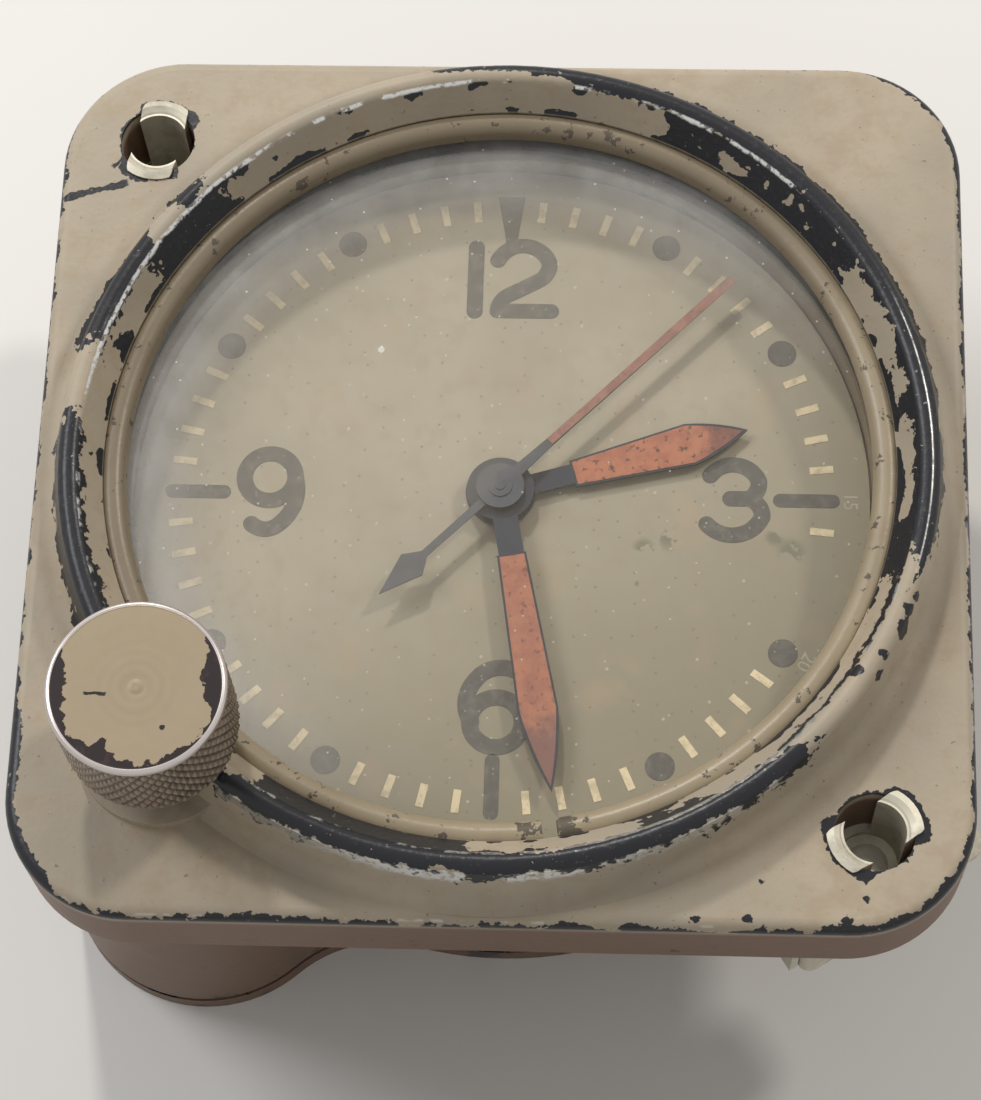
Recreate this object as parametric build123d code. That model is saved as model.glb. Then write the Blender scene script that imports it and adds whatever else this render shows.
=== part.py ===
from build123d import *
import math
import os

# Aircraft panel clock of the 2-1/4 inch instrument size, in millimetres.
# +Z comes out of the dial, +Y points to twelve o'clock and +X to three o'clock.
# The origin lies on the dial's axis, in the front plane of the mounting flange.

os.makedirs("parts", exist_ok=True)

# Panel standard
FLANGE_SIDE = 60.3
FLANGE_THICK = 6.35
FLANGE_CORNER_R = 8.0
FLANGE_EDGE_R = 0.8
HOLE_SPACING = 47.62
HOLE_R = 2.5
HOLE_HALF = HOLE_SPACING / 2
NUT_PLACES = ((-HOLE_HALF, HOLE_HALF, 80.0), (HOLE_HALF, -HOLE_HALF, 33.0))

# Fits
RUN = 0.06           # radial clearance of a pivot in its hole
GAP = 0.3            # clearance between pieces that pass each other

# Dial, glass and the ring that surrounds them
DIAL_R = 24.15
DIAL_TOP = -4.4
DIAL_THICK = 0.4
DIAL_BACK = DIAL_TOP - DIAL_THICK
DIAL_BORE_R = DIAL_R + 0.15
WEB_R = 21.0
GLASS_R = 25.3
GLASS_THICK = 1.75
GASKET_THICK = 0.35
GLASS_SEAT = -2.35
GLASS_BORE_R = GLASS_R + 0.1
WIRE_R = 0.9
WIRE_RING_R = 24.85
WIRE_ROOM = 0.05
WIRE_Z = GLASS_SEAT + GASKET_THICK + GLASS_THICK + WIRE_R
WIRE_GAP_FROM = 278.0
WIRE_GAP_TO = 280.2

# Profile of the raised ring, as (radius, level): a lip over the wire, a slope,
# a rounded bead, its steep outer side and a cove down to the flange
RING_LIP_Z = 1.6
BEAD_INNER = (26.6, 3.3)
CREST_R = 27.3
CREST_Z = 3.72
BEAD_OUTER = (28.0, 3.3)
BEAD_FOOT = (28.45, 1.6)
COVE = (28.92, 0.58)
RING_FOOT_R = 29.7

# Stem and knob
KNOB = Vector(-20.5, -19.3)
KNOB_DISTANCE = KNOB.length
ALONG = KNOB.normalized()
ACROSS = Vector(-ALONG.Y, ALONG.X)
KNOB_R = 5.5
KNOB_BOTTOM = CREST_Z + GAP
KNOB_TOP = 11.5
KNOB_RIM_R = KNOB_R - 0.15
SET_SCREW_R = 0.8
SET_SCREW_Z = 6.6
SET_SCREW_TURN = 135.0
PAD_R = 5.2
PAD_TOP = 0.8
STEM_R = 1.0
STEM_END = -24.5
BUSH_R = 2.0
BUSH_TOP = 2.9
PULL = 2.0
POST = KNOB - ACROSS * 6.2
POST_R = 0.8
POST_Z = (-14.0, -4.1)

# Nut blocks in sheet clips, whose fingers come up through the flange's holes
NUT_LONG = 14.0
NUT_WIDE = 6.6
NUT_THICK = 5.0
THREAD_R = 1.35
CLIP_SHEET = 0.6
CLIP_BACK = -FLANGE_THICK - CLIP_SHEET
FINGER_INNER_R = 1.95
FINGER_OUTER_R = HOLE_R - 0.05
FINGER_WIDE = 3.1
LIP_R = 3.0
LIP_TOP = 0.32
LIP_CORNER_R = 0.9

# Can behind the flange, with the stem housing beside it
CAN_R = 25.0
CAN_WALL = 1.6
LOBE_R = 9.6
LOBE_WALL = 1.3
LOBE_CORNER_R = 9.0
CAN_INNER_R = CAN_R - CAN_WALL
LOBE_INNER_R = LOBE_R - LOBE_WALL
CAN_BACK = -25.8
REAR_GASKET_THICK = 0.6
COVER_THICK = 1.6
COVER_FRONT = CAN_BACK - REAR_GASKET_THICK
COVER_BACK = COVER_FRONT - COVER_THICK
COVER_BOSS_R = 2.0
COVER_BOSS_PLACE_R = 22.4
COVER_BOSS_FRONT = -20.0
COVER_SCREW_R = 0.7
COVER_SCREW_HEAD_R = 1.5
COVER_SCREW_ANGLES = (45, 135, 315)

# Movement plates
MAIN_FRONT = -6.7
MAIN_BACK = -8.6
MAIN_R = 22.9
REAR_FRONT = -16.9
REAR_BACK = -18.4
REAR_R = 19.8
PILLAR_R = 1.5
PILLAR_PLACE_R = 18.2
PILLAR_ANGLES = (40, 150, 265, 355)
MOVEMENT_SCREW_PLACE_R = 21.8
MOVEMENT_SCREW_ANGLES = (20, 160, 290)
SMALL_SCREW_R = 0.5
PIVOT_TOP = -8.0
PIVOT_BOTTOM = -18.2
DIAL_FOOT_R = 0.6
DIAL_FEET_PLACE_R = 19.0
DIAL_FEET_ANGLES = (75, 285)
COCK_FOOT_REACH = 20.6
PALLET_FOOT = Vector(-1.0, 5.4)

# Levels of the wheels, as (bottom, top)
HOUR_WHEEL_Z = (-5.6, -5.1)
MINUTE_WHEEL_Z = (-6.5, -6.0)
BARREL_TEETH_Z = (-9.8, -9.0)
BARREL_Z = (-14.0, -9.0)
ESCAPE_Z = (-9.8, -9.6)
PALLET_COCK_Z = (-11.0, -10.4)
BALANCE_Z = (-12.6, -11.8)
HAIRSPRING_Z = (-13.6, -13.4)
BALANCE_COCK_Z = (-15.4, -14.4)
CENTRE_WHEEL_Z = (-14.7, -14.4)
THIRD_PINION_Z = (-14.9, -14.2)
THIRD_WHEEL_Z = (-15.6, -15.3)
FOURTH_PINION_Z = (-15.8, -15.0)
FOURTH_WHEEL_Z = (-16.4, -16.1)
ESCAPE_PINION_Z = (-16.6, -15.9)
WINDING_Z = (-19.6, -18.6)
WINDING_PINION_Z = (-19.8, -18.4)
SETTING_PINION_Z = (-8.5, -7.4)
FORK_Z = (-12.3, -11.7)

# Gear modules and tooth counts
BARREL_MODULE, BARREL_TEETH, CENTRE_LEAVES = 0.3, 56, 7
CENTRE_MODULE, CENTRE_TEETH, THIRD_LEAVES = 18 / 63, 56, 7
THIRD_MODULE, THIRD_TEETH, FOURTH_LEAVES = 18 / 51, 45, 6
FOURTH_MODULE, FOURTH_TEETH, ESCAPE_LEAVES = 0.27, 60, 6
MOTION_MODULE, CANNON_TEETH, MINUTE_TEETH = 0.3, 10, 30
MINUTE_LEAVES, HOUR_TEETH = 8, 32
SETTING_TEETH, SETTING_LEAVES = 44, 32
WINDING_MODULE, WINDING_LEAVES, IDLER_TEETH, RATCHET_TEETH = 0.5, 12, 18, 28
ESCAPE_TEETH = 15
ESCAPE_R = 3.4

# Radii of the nested tubes at the centre
SWEEP_ARBOR_R = 0.35
CENTRE_TUBE_R = 0.62
CANNON_TUBE_R = 0.85
HOUR_PIPE_R = 1.25
TRAIN_ARBOR_R = 0.3

# Studs, barrel and escapement
MINUTE_STUD_R = 0.4
SETTING_STUD_R = 0.8
WINDING_STUD_R = 0.7
BARREL_R = 7.9
BARREL_WALL = 0.5
ARBOR_R = 0.8
CORE_R = 1.6
ESCAPE_ARBOR_R = 0.25
PALLET_CLEAR = 0.06
FORK_REACH = 3.3
LEVER_ARBOR_R = 0.2
STAFF_R = 0.22
ROLLER_PIN_R = 0.12
BALANCE_R = 6.5

# Print on the dial
PRINT_THICK = 0.03
FIGURE_STROKE = 1.08
BAR_STROKE = 0.95
DOT_R = 0.95
DOT_PLACE_R = 21.28
BAR_INNER_R = 18.3
BAR_OUTER_R = 21.7
TICK_INNER_R = 20.35
TICK_OUTER_R = 21.9
TICK_WIDE = 0.5
FLAKED_MINUTES = (17, 18, 19)
LOOP_R = 1.68

# Hands: clockwise angle from twelve, and level
HOUR_ANGLE = 73.6
MINUTE_ANGLE = 169.4
SECOND_ANGLE = 44.6
HOUR_HAND_Z = (-3.9, -3.7)
MINUTE_HAND_Z = (-3.3, -3.1)
SECOND_HAND_Z = (-2.8, -2.68)
PAINT_THICK = 0.08
LUME_RISE = 0.03
RIM = 0.14

# Blades of the hands, as root radius and half width, widest radius and half width,
# tip radius, and the half width that their bowed edges pass midway
HOUR_BLADE = (4.9, 0.95, 12.9, 1.5, 16.8, 0.95)
MINUTE_BLADE = (4.65, 0.95, 15.5, 1.3, 21.0, 0.85)


def between(sketch, bottom, top):
    """A sketch made solid between two levels."""
    return Pos(0, 0, bottom) * extrude(sketch, amount=top - bottom)


def on(place):
    """Moves a piece from the dial's axis to a place in the plan."""
    x, y = tuple(place)[:2]
    return Pos(x, y)


def disc(radius, bottom, top, at=(0, 0)):
    return on(at) * between(Circle(radius), bottom, top)


def polar(radius, degrees, centre=(0, 0)):
    turn = math.radians(degrees)
    return Vector(*centre) + Vector(math.cos(turn), math.sin(turn)) * radius


def bearing(start, end):
    """The direction from one point to another, in degrees from +X."""
    line = Vector(*end) - Vector(*start)
    return math.degrees(math.atan2(line.Y, line.X))


def meeting(start, end, reach_start, reach_end, side):
    """The point at given distances from two others, on the side asked for."""
    line = Vector(*end) - Vector(*start)
    span = line.length
    run = (span ** 2 + reach_start ** 2 - reach_end ** 2) / (2 * span)
    rise = side * math.sqrt(reach_start ** 2 - run ** 2)
    unit = line.normalized()
    return Vector(*start) + unit * run + Vector(-unit.Y, unit.X) * rise


def pair_distance(module, teeth_a, teeth_b):
    return module * (teeth_a + teeth_b) / 2


def mesh_phase(start, teeth_a, phase_a, end, teeth_b):
    """The second gear's phase that puts a gap opposite the first gear's tooth."""
    towards = bearing(start, end)
    share = (towards - phase_a) * teeth_a / 360
    return towards + 180 + (share + 0.5) * 360 / teeth_b


def gear(module, teeth, level, at, phase, few=False):
    """A toothed disc. Wheels have straight flanks, pinions have rounded leaves."""
    pitch_r = module * teeth / 2
    step = 360 / teeth
    if few:
        rows = ((pitch_r - 1.3 * module, 0.17), (pitch_r, 0.19), (pitch_r + 0.62 * module, 0.09))
    else:
        rows = ((pitch_r - 1.1 * module, 0.29), (pitch_r + 0.85 * module, 0.13))
    points = []
    for tooth in range(teeth):
        middle = phase + tooth * step
        points += [polar(radius, middle - half * step) for radius, half in rows]
        points += [polar(radius, middle + half * step) for radius, half in reversed(rows)]
    face = make_face(Polyline(*points, close=True))
    return on(at) * between(face, *level)


def spoked(wheel, rim_r, hub_r, arm, arms, level, at):
    """Opens windows in a wheel and leaves its arms."""
    window = Circle(rim_r) - Circle(hub_r)
    for index in range(arms):
        bar = Pos(rim_r / 2) * Rectangle(rim_r, arm)
        window -= Rot(0, 0, index * 360 / arms) * bar
    return wheel - on(at) * between(window, level[0] - 1, level[1] + 1)


def spiral_strip(inner_r, pitch, half_turns, thick, level, at):
    """A coiled strip, drawn with half circles that grow by half a pitch each."""
    def side(offset):
        ends = [(inner_r + offset + k * pitch / 2) * (-1) ** k for k in range(half_turns + 1)]
        arcs = []
        for k, (a, b) in enumerate(zip(ends, ends[1:])):
            bulge = abs(a - b) / 2 * (-1) ** k
            arcs.append(ThreePointArc((a, 0), ((a + b) / 2, bulge), (b, 0)))
        return arcs, ends
    inside, inside_ends = side(-thick / 2)
    outside, outside_ends = side(thick / 2)
    caps = [Line((inside_ends[k], 0), (outside_ends[k], 0)) for k in (0, -1)]
    face = make_face(Curve() + inside + outside + caps)
    return on(at) * between(face, *level)


def slotted_screw(head_r, head_z, shank_r, shank_end, at):
    """A cheese-head screw whose head points to the rear."""
    back, front = head_z
    screw = disc(head_r, back, front, at) + disc(shank_r, front - 0.1, shank_end, at)
    slot = on(at) * Pos(0, 0, back) * Box(3 * head_r, 0.3, 0.5)
    return screw - slot


def keyhole(can_r, lobe_r, corner_r):
    """The joined outline of the can and the stem housing."""
    reach_can = can_r + corner_r
    reach_lobe = lobe_r + corner_r
    points = {}
    for side in (1, -1):
        centre = meeting((0, 0), KNOB, reach_can, reach_lobe, side)
        on_can = centre * (can_r / reach_can)
        on_lobe = KNOB + (centre - KNOB) * (lobe_r / reach_lobe)
        inward = ((on_can - centre) + (on_lobe - centre)).normalized()
        points[side] = (on_can, centre + inward * corner_r, on_lobe)
    left, right = points[1], points[-1]
    return make_face(Curve() + [
        ThreePointArc(left[0], ALONG * -can_r, right[0]),
        ThreePointArc(*right),
        ThreePointArc(right[2], KNOB + ALONG * lobe_r, left[2]),
        ThreePointArc(*left),
    ])


def stroke(edges, width):
    """A pen stroke with round ends along joined lines and arcs."""
    return Face(Wire(edges).offset_2d(width / 2, side=Side.BOTH))


# Places of the axes
BARREL = ALONG * pair_distance(BARREL_MODULE, BARREL_TEETH, CENTRE_LEAVES)
THIRD = polar(pair_distance(CENTRE_MODULE, CENTRE_TEETH, THIRD_LEAVES), 330)
ESCAPE = polar(pair_distance(FOURTH_MODULE, FOURTH_TEETH, ESCAPE_LEAVES), 130)
LEVER_DIRECTION = 36.87
PALLET_HALF_SPAN = 30
LEVER = polar(ESCAPE_R / math.cos(math.radians(PALLET_HALF_SPAN)), LEVER_DIRECTION, ESCAPE)
BALANCE = polar(8.5, LEVER_DIRECTION, ESCAPE)
MINUTE = ALONG * pair_distance(MOTION_MODULE, CANNON_TEETH, MINUTE_TEETH)
SETTING = meeting(MINUTE, KNOB, pair_distance(MOTION_MODULE, MINUTE_TEETH, SETTING_TEETH),
                  pair_distance(MOTION_MODULE, SETTING_TEETH, SETTING_LEAVES), -1)
IDLER = meeting(BARREL, KNOB, pair_distance(WINDING_MODULE, RATCHET_TEETH, IDLER_TEETH),
                pair_distance(WINDING_MODULE, IDLER_TEETH, WINDING_LEAVES), 1)
CENTRE = Vector(0, 0)

# Phases that let the teeth mesh at rest
CENTRE_PHASE = 0
BARREL_PHASE = mesh_phase(CENTRE, CENTRE_LEAVES, CENTRE_PHASE, BARREL, BARREL_TEETH)
THIRD_PINION_PHASE = mesh_phase(CENTRE, CENTRE_TEETH, CENTRE_PHASE, THIRD, THIRD_LEAVES)
THIRD_PHASE = 0
FOURTH_PINION_PHASE = mesh_phase(THIRD, THIRD_TEETH, THIRD_PHASE, CENTRE, FOURTH_LEAVES)
FOURTH_PHASE = 0
ESCAPE_PINION_PHASE = mesh_phase(CENTRE, FOURTH_TEETH, FOURTH_PHASE, ESCAPE, ESCAPE_LEAVES)
CANNON_PHASE = 0
MINUTE_PHASE = mesh_phase(CENTRE, CANNON_TEETH, CANNON_PHASE, MINUTE, MINUTE_TEETH)
MINUTE_PINION_PHASE = 0
HOUR_PHASE = mesh_phase(MINUTE, MINUTE_LEAVES, MINUTE_PINION_PHASE, CENTRE, HOUR_TEETH)
SETTING_PHASE = mesh_phase(MINUTE, MINUTE_TEETH, MINUTE_PHASE, SETTING, SETTING_TEETH)
SETTING_PINION_PHASE = mesh_phase(SETTING, SETTING_TEETH, SETTING_PHASE, KNOB, SETTING_LEAVES)
WINDING_PHASE = 0
IDLER_PHASE = mesh_phase(KNOB, WINDING_LEAVES, WINDING_PHASE, IDLER, IDLER_TEETH)
RATCHET_PHASE = mesh_phase(IDLER, IDLER_TEETH, IDLER_PHASE, BARREL, RATCHET_TEETH)
ESCAPE_PHASE = LEVER_DIRECTION + PALLET_HALF_SPAN + 360 / ESCAPE_TEETH / 4

# The click's nose stands over a gap of the ratchet wheel, lifted clear of the teeth
RATCHET_TIP_R = WINDING_MODULE * (RATCHET_TEETH / 2 + 0.85)
CLICK = polar(RATCHET_TIP_R + 2.2, 122, BARREL)
GAP_INDEX = round((97 - RATCHET_PHASE) * RATCHET_TEETH / 360 - 0.5)
NOSE_TURN = RATCHET_PHASE + (GAP_INDEX + 0.5) * 360 / RATCHET_TEETH
NOSE = polar(RATCHET_TIP_R + 0.08, NOSE_TURN, BARREL)
NOSE_HALF = 0.14

# Places of screws, pillars and feet
COVER_SCREWS = [polar(COVER_BOSS_PLACE_R, turn) for turn in COVER_SCREW_ANGLES]
COVER_SCREWS.append(KNOB + ALONG * (LOBE_INNER_R - COVER_BOSS_R + GAP))
MOVEMENT_SCREWS = [polar(MOVEMENT_SCREW_PLACE_R, turn) for turn in MOVEMENT_SCREW_ANGLES]
PILLARS = [polar(PILLAR_PLACE_R, turn) for turn in PILLAR_ANGLES]
COCK_FOOT = BALANCE.normalized() * COCK_FOOT_REACH
DIAL_FEET = [polar(DIAL_FEET_PLACE_R, turn) for turn in DIAL_FEET_ANGLES]

# Pivot holes of the two plates, as (place, pivot radius)
TRAIN_PIVOTS = ((THIRD, TRAIN_ARBOR_R), (ESCAPE, ESCAPE_ARBOR_R), (LEVER, LEVER_ARBOR_R),
                (BALANCE, STAFF_R), (BARREL, ARBOR_R))
REAR_PIVOTS = ((THIRD, TRAIN_ARBOR_R), (ESCAPE, ESCAPE_ARBOR_R), (CENTRE, SWEEP_ARBOR_R),
               (BARREL, ARBOR_R))


def make_case():
    """Flange, ring, can and stem housing, cast in one piece."""
    flange = between(RectangleRounded(FLANGE_SIDE, FLANGE_SIDE, FLANGE_CORNER_R), -FLANGE_THICK, 0)
    flange = fillet(flange.faces().sort_by(Axis.Z)[-1].edges(), FLANGE_EDGE_R)
    ring = Plane.XZ * make_face(Curve() + [
        Polyline((RING_FOOT_R, 0), (RING_FOOT_R, -1), (GLASS_BORE_R, -1),
                 (GLASS_BORE_R, RING_LIP_Z), BEAD_INNER),
        ThreePointArc(BEAD_INNER, (CREST_R, CREST_Z), BEAD_OUTER),
        Line(BEAD_OUTER, BEAD_FOOT),
        ThreePointArc(BEAD_FOOT, COVE, (RING_FOOT_R, 0)),
    ])
    case = flange + revolve(ring, Axis.Z)
    case += between(keyhole(CAN_R, LOBE_R, LOBE_CORNER_R), CAN_BACK, -FLANGE_THICK + 1)
    case += disc(PAD_R, -1, PAD_TOP, KNOB)
    cavity = keyhole(CAN_INNER_R, LOBE_INNER_R, LOBE_CORNER_R + (CAN_WALL + LOBE_WALL) / 2)
    case -= between(cavity, CAN_BACK, MAIN_FRONT)
    case -= disc(WEB_R, MAIN_FRONT - 1, DIAL_BACK)
    case -= disc(DIAL_BORE_R, DIAL_BACK, GLASS_SEAT)
    case -= disc(GLASS_BORE_R, GLASS_SEAT, CREST_Z + 1)
    case -= Pos(0, 0, WIRE_Z) * Torus(WIRE_RING_R, WIRE_R + WIRE_ROOM)
    setting_room = MOTION_MODULE * (SETTING_TEETH / 2 + 1) + 0.4
    pinion_room = MOTION_MODULE * (SETTING_LEAVES / 2 + 1) + 0.4
    room_top = SETTING_PINION_Z[1] + PULL + 0.2
    case -= disc(setting_room, MAIN_FRONT - 1, room_top, SETTING)
    case -= disc(pinion_room, MAIN_FRONT - 1, room_top, KNOB)
    case -= disc(BUSH_R, -10, CREST_Z + 1, KNOB)
    for place in COVER_SCREWS:
        case += disc(COVER_BOSS_R, CAN_BACK, COVER_BOSS_FRONT, place)
    case = case & Box(FLANGE_SIDE, FLANGE_SIDE, 100)
    for place in COVER_SCREWS:
        case -= disc(COVER_SCREW_R, CAN_BACK, COVER_BOSS_FRONT - 1, place)
    for place in MOVEMENT_SCREWS:
        case -= disc(SMALL_SCREW_R, MAIN_FRONT, DIAL_BACK - 0.3, place)
    case -= disc(POST_R, MAIN_FRONT - 1, POST_Z[1], POST)
    for x, y, _ in NUT_PLACES:
        case -= disc(HOLE_R, -FLANGE_THICK - 1, 1, (x, y))
    return case


def make_cover():
    """Rear cover with the blind bearing of the stem's end."""
    cover = between(keyhole(CAN_R, LOBE_R, LOBE_CORNER_R), COVER_BACK, COVER_FRONT)
    cover += disc(2.4, COVER_FRONT - 0.5, -21.8, KNOB)
    cover -= disc(STEM_R + RUN, COVER_FRONT + 0.6, 0, KNOB)
    cone = COVER_SCREW_HEAD_R - COVER_SCREW_R
    for place in COVER_SCREWS:
        cover -= disc(COVER_SCREW_R + 0.05, COVER_BACK, 0, place)
        cover -= Pos(place.X, place.Y, COVER_BACK + cone / 2) * Cone(
            COVER_SCREW_HEAD_R, COVER_SCREW_R, cone)
    return cover


def make_cover_screws():
    screws = []
    cone = COVER_SCREW_HEAD_R - COVER_SCREW_R
    for index, place in enumerate(COVER_SCREWS):
        screw = Pos(0, 0, COVER_BACK + cone / 2) * Cone(COVER_SCREW_HEAD_R, COVER_SCREW_R, cone)
        screw += disc(COVER_SCREW_R, COVER_BACK + cone, COVER_BOSS_FRONT - 1.3)
        screw -= Pos(0, 0, COVER_BACK) * Rot(0, 0, 35 * index) * Box(4, 0.4, 0.6)
        screws.append(on(place) * screw)
    return Compound(screws)


def make_rear_gasket():
    gasket = keyhole(CAN_R - 0.3, LOBE_R - 0.3, LOBE_CORNER_R + 0.3)
    gasket -= keyhole(CAN_INNER_R, LOBE_INNER_R, LOBE_CORNER_R + 1.5)
    for place in COVER_SCREWS:
        gasket += on(place) * Circle(COVER_BOSS_R - 0.1)
    for place in COVER_SCREWS:
        gasket -= on(place) * Circle(COVER_SCREW_R + 0.05)
    outline = keyhole(CAN_R - 0.3, LOBE_R - 0.3, LOBE_CORNER_R + 0.3)
    return between(gasket & outline, COVER_FRONT, CAN_BACK)


def make_wire_ring():
    """Round spring wire, open near six o'clock."""
    section = Plane.XZ * Pos(WIRE_RING_R, WIRE_Z) * Circle(WIRE_R)
    wire = revolve(section, Axis.Z, 360 - (WIRE_GAP_TO - WIRE_GAP_FROM))
    return Rot(0, 0, WIRE_GAP_TO) * wire


def make_clip():
    """Sheet clip: a base behind the flange and two fingers with turned-out lips."""
    base = RectangleRounded(NUT_LONG, NUT_WIDE, 1.0) - Circle(FINGER_INNER_R)
    clip = between(base, CLIP_BACK, -FLANGE_THICK)
    tube = disc(FINGER_OUTER_R, CLIP_BACK, 0.02) - disc(FINGER_INNER_R, CLIP_BACK - 1, 1)
    lip = Plane.XZ * make_face(Polyline(
        (FINGER_INNER_R, -0.4), (FINGER_OUTER_R, 0.02), (LIP_R, 0.02), (LIP_R, 0.14),
        (LIP_R - 0.45, LIP_TOP), (FINGER_INNER_R + 0.25, 0.12), (FINGER_INNER_R, -0.1),
        close=True))
    band = RectangleRounded(2 * LIP_R + 0.2, FINGER_WIDE, LIP_CORNER_R)
    clip += (tube + revolve(lip, Axis.Z)) & between(band, CLIP_BACK, 1)
    for side in (1, -1):
        hook = Pos(side * (NUT_LONG / 2 - CLIP_SHEET / 2), 0) * Rectangle(CLIP_SHEET, NUT_WIDE - 2)
        clip += between(hook, CLIP_BACK - NUT_THICK, CLIP_BACK)
    return clip


def make_nut():
    """The threaded block that the clip holds."""
    block = RectangleRounded(NUT_LONG - 2 * CLIP_SHEET - 0.2, NUT_WIDE - 0.4, 0.8)
    return between(block - Circle(THREAD_R), CLIP_BACK - NUT_THICK, CLIP_BACK)


def at_holes(piece):
    return Compound([Pos(x, y) * Rot(0, 0, turn) * piece for x, y, turn in NUT_PLACES])


def make_knob():
    """Turned knob: knurled drum, bright rim, dished face."""
    profile = Plane.XZ * make_face(Polyline(
        (0, KNOB_BOTTOM + 1.0), (3.6, KNOB_BOTTOM + 1.0), (3.8, KNOB_BOTTOM), (4.9, KNOB_BOTTOM),
        (KNOB_R - 0.1, KNOB_BOTTOM + 0.5), (KNOB_R, KNOB_BOTTOM + 0.6), (KNOB_R, KNOB_TOP - 0.9),
        (KNOB_RIM_R, KNOB_TOP - 0.75), (KNOB_RIM_R, KNOB_TOP - 0.25),
        (KNOB_RIM_R - 0.25, KNOB_TOP), (KNOB_RIM_R - 0.5, KNOB_TOP),
        (KNOB_RIM_R - 0.7, KNOB_TOP - 0.12), (0, KNOB_TOP - 0.12), close=True))
    knob = Pos(KNOB.X, KNOB.Y) * revolve(profile, Axis.Z)
    knob -= disc(STEM_R, 0, KNOB_TOP - 2.0, KNOB)
    hole = Rot(0, 0, SET_SCREW_TURN) * Rot(0, 90, 0) * Pos(0, 0, 3) * Cylinder(SET_SCREW_R, 6)
    return knob - Pos(KNOB.X, KNOB.Y, SET_SCREW_Z) * hole


def make_set_screw():
    screw = Pos(0, 0, 3.05) * Cylinder(SET_SCREW_R, 4.1)
    screw -= Pos(0, 0, 5.1) * Box(0.3, 4, 0.8)
    turned = Rot(0, 0, SET_SCREW_TURN) * Rot(0, 90, 0) * screw
    return Pos(KNOB.X, KNOB.Y, SET_SCREW_Z) * turned


def make_stem():
    """Stem with the groove of the detent fork."""
    stem = disc(STEM_R, STEM_END, KNOB_TOP - 2.1, KNOB)
    groove = Circle(STEM_R + 1) - Circle(STEM_R - 0.35)
    return stem - Pos(KNOB.X, KNOB.Y) * between(groove, FORK_Z[0] - 0.08, FORK_Z[1] + 0.08)


def make_bush():
    return disc(BUSH_R, SETTING_PINION_Z[1] + PULL + 0.2, BUSH_TOP, KNOB) - disc(
        STEM_R + RUN, -10, 10, KNOB)


def make_winding_pinion():
    level = WINDING_PINION_Z
    pinion = gear(WINDING_MODULE, WINDING_LEAVES, level, KNOB, WINDING_PHASE)
    pinion += disc(1.9, level[1], level[1] + 0.9, KNOB)
    return pinion - disc(STEM_R, -30, 0, KNOB)


def make_setting_pinion():
    level = SETTING_PINION_Z
    pinion = gear(MOTION_MODULE, SETTING_LEAVES, level, KNOB, SETTING_PINION_PHASE)
    pinion += disc(2.0, level[0] - 0.9, level[0], KNOB)
    return pinion - disc(STEM_R, -30, 0, KNOB)


def make_fork():
    """Flat fork that rides on the post and holds the stem by its groove."""
    arm = Pos(KNOB.X, KNOB.Y) * Circle(2.4) + Pos(POST.X, POST.Y) * Circle(1.6)
    middle = (KNOB + POST) * 0.5
    arm += Pos(middle.X, middle.Y) * Rot(0, 0, bearing(POST, KNOB)) * Rectangle(6.2, 2.4)
    arm -= Pos(POST.X, POST.Y) * Circle(POST_R + RUN)
    mouth = Pos(KNOB.X, KNOB.Y) * Rot(0, 0, bearing(POST, KNOB)) * Pos(2.5) * Rectangle(
        5 + 2 * (STEM_R - 0.35 + RUN), 2 * (STEM_R - 0.35 + RUN))
    return between(arm - mouth, *FORK_Z)


def make_dial():
    dial = between(Circle(DIAL_R) - Circle(HOUR_PIPE_R + 0.35), DIAL_BACK, DIAL_TOP)
    for foot in DIAL_FEET:
        dial += disc(DIAL_FOOT_R, PIVOT_TOP + 0.2, DIAL_BACK + 0.1, foot)
    return dial


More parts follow.
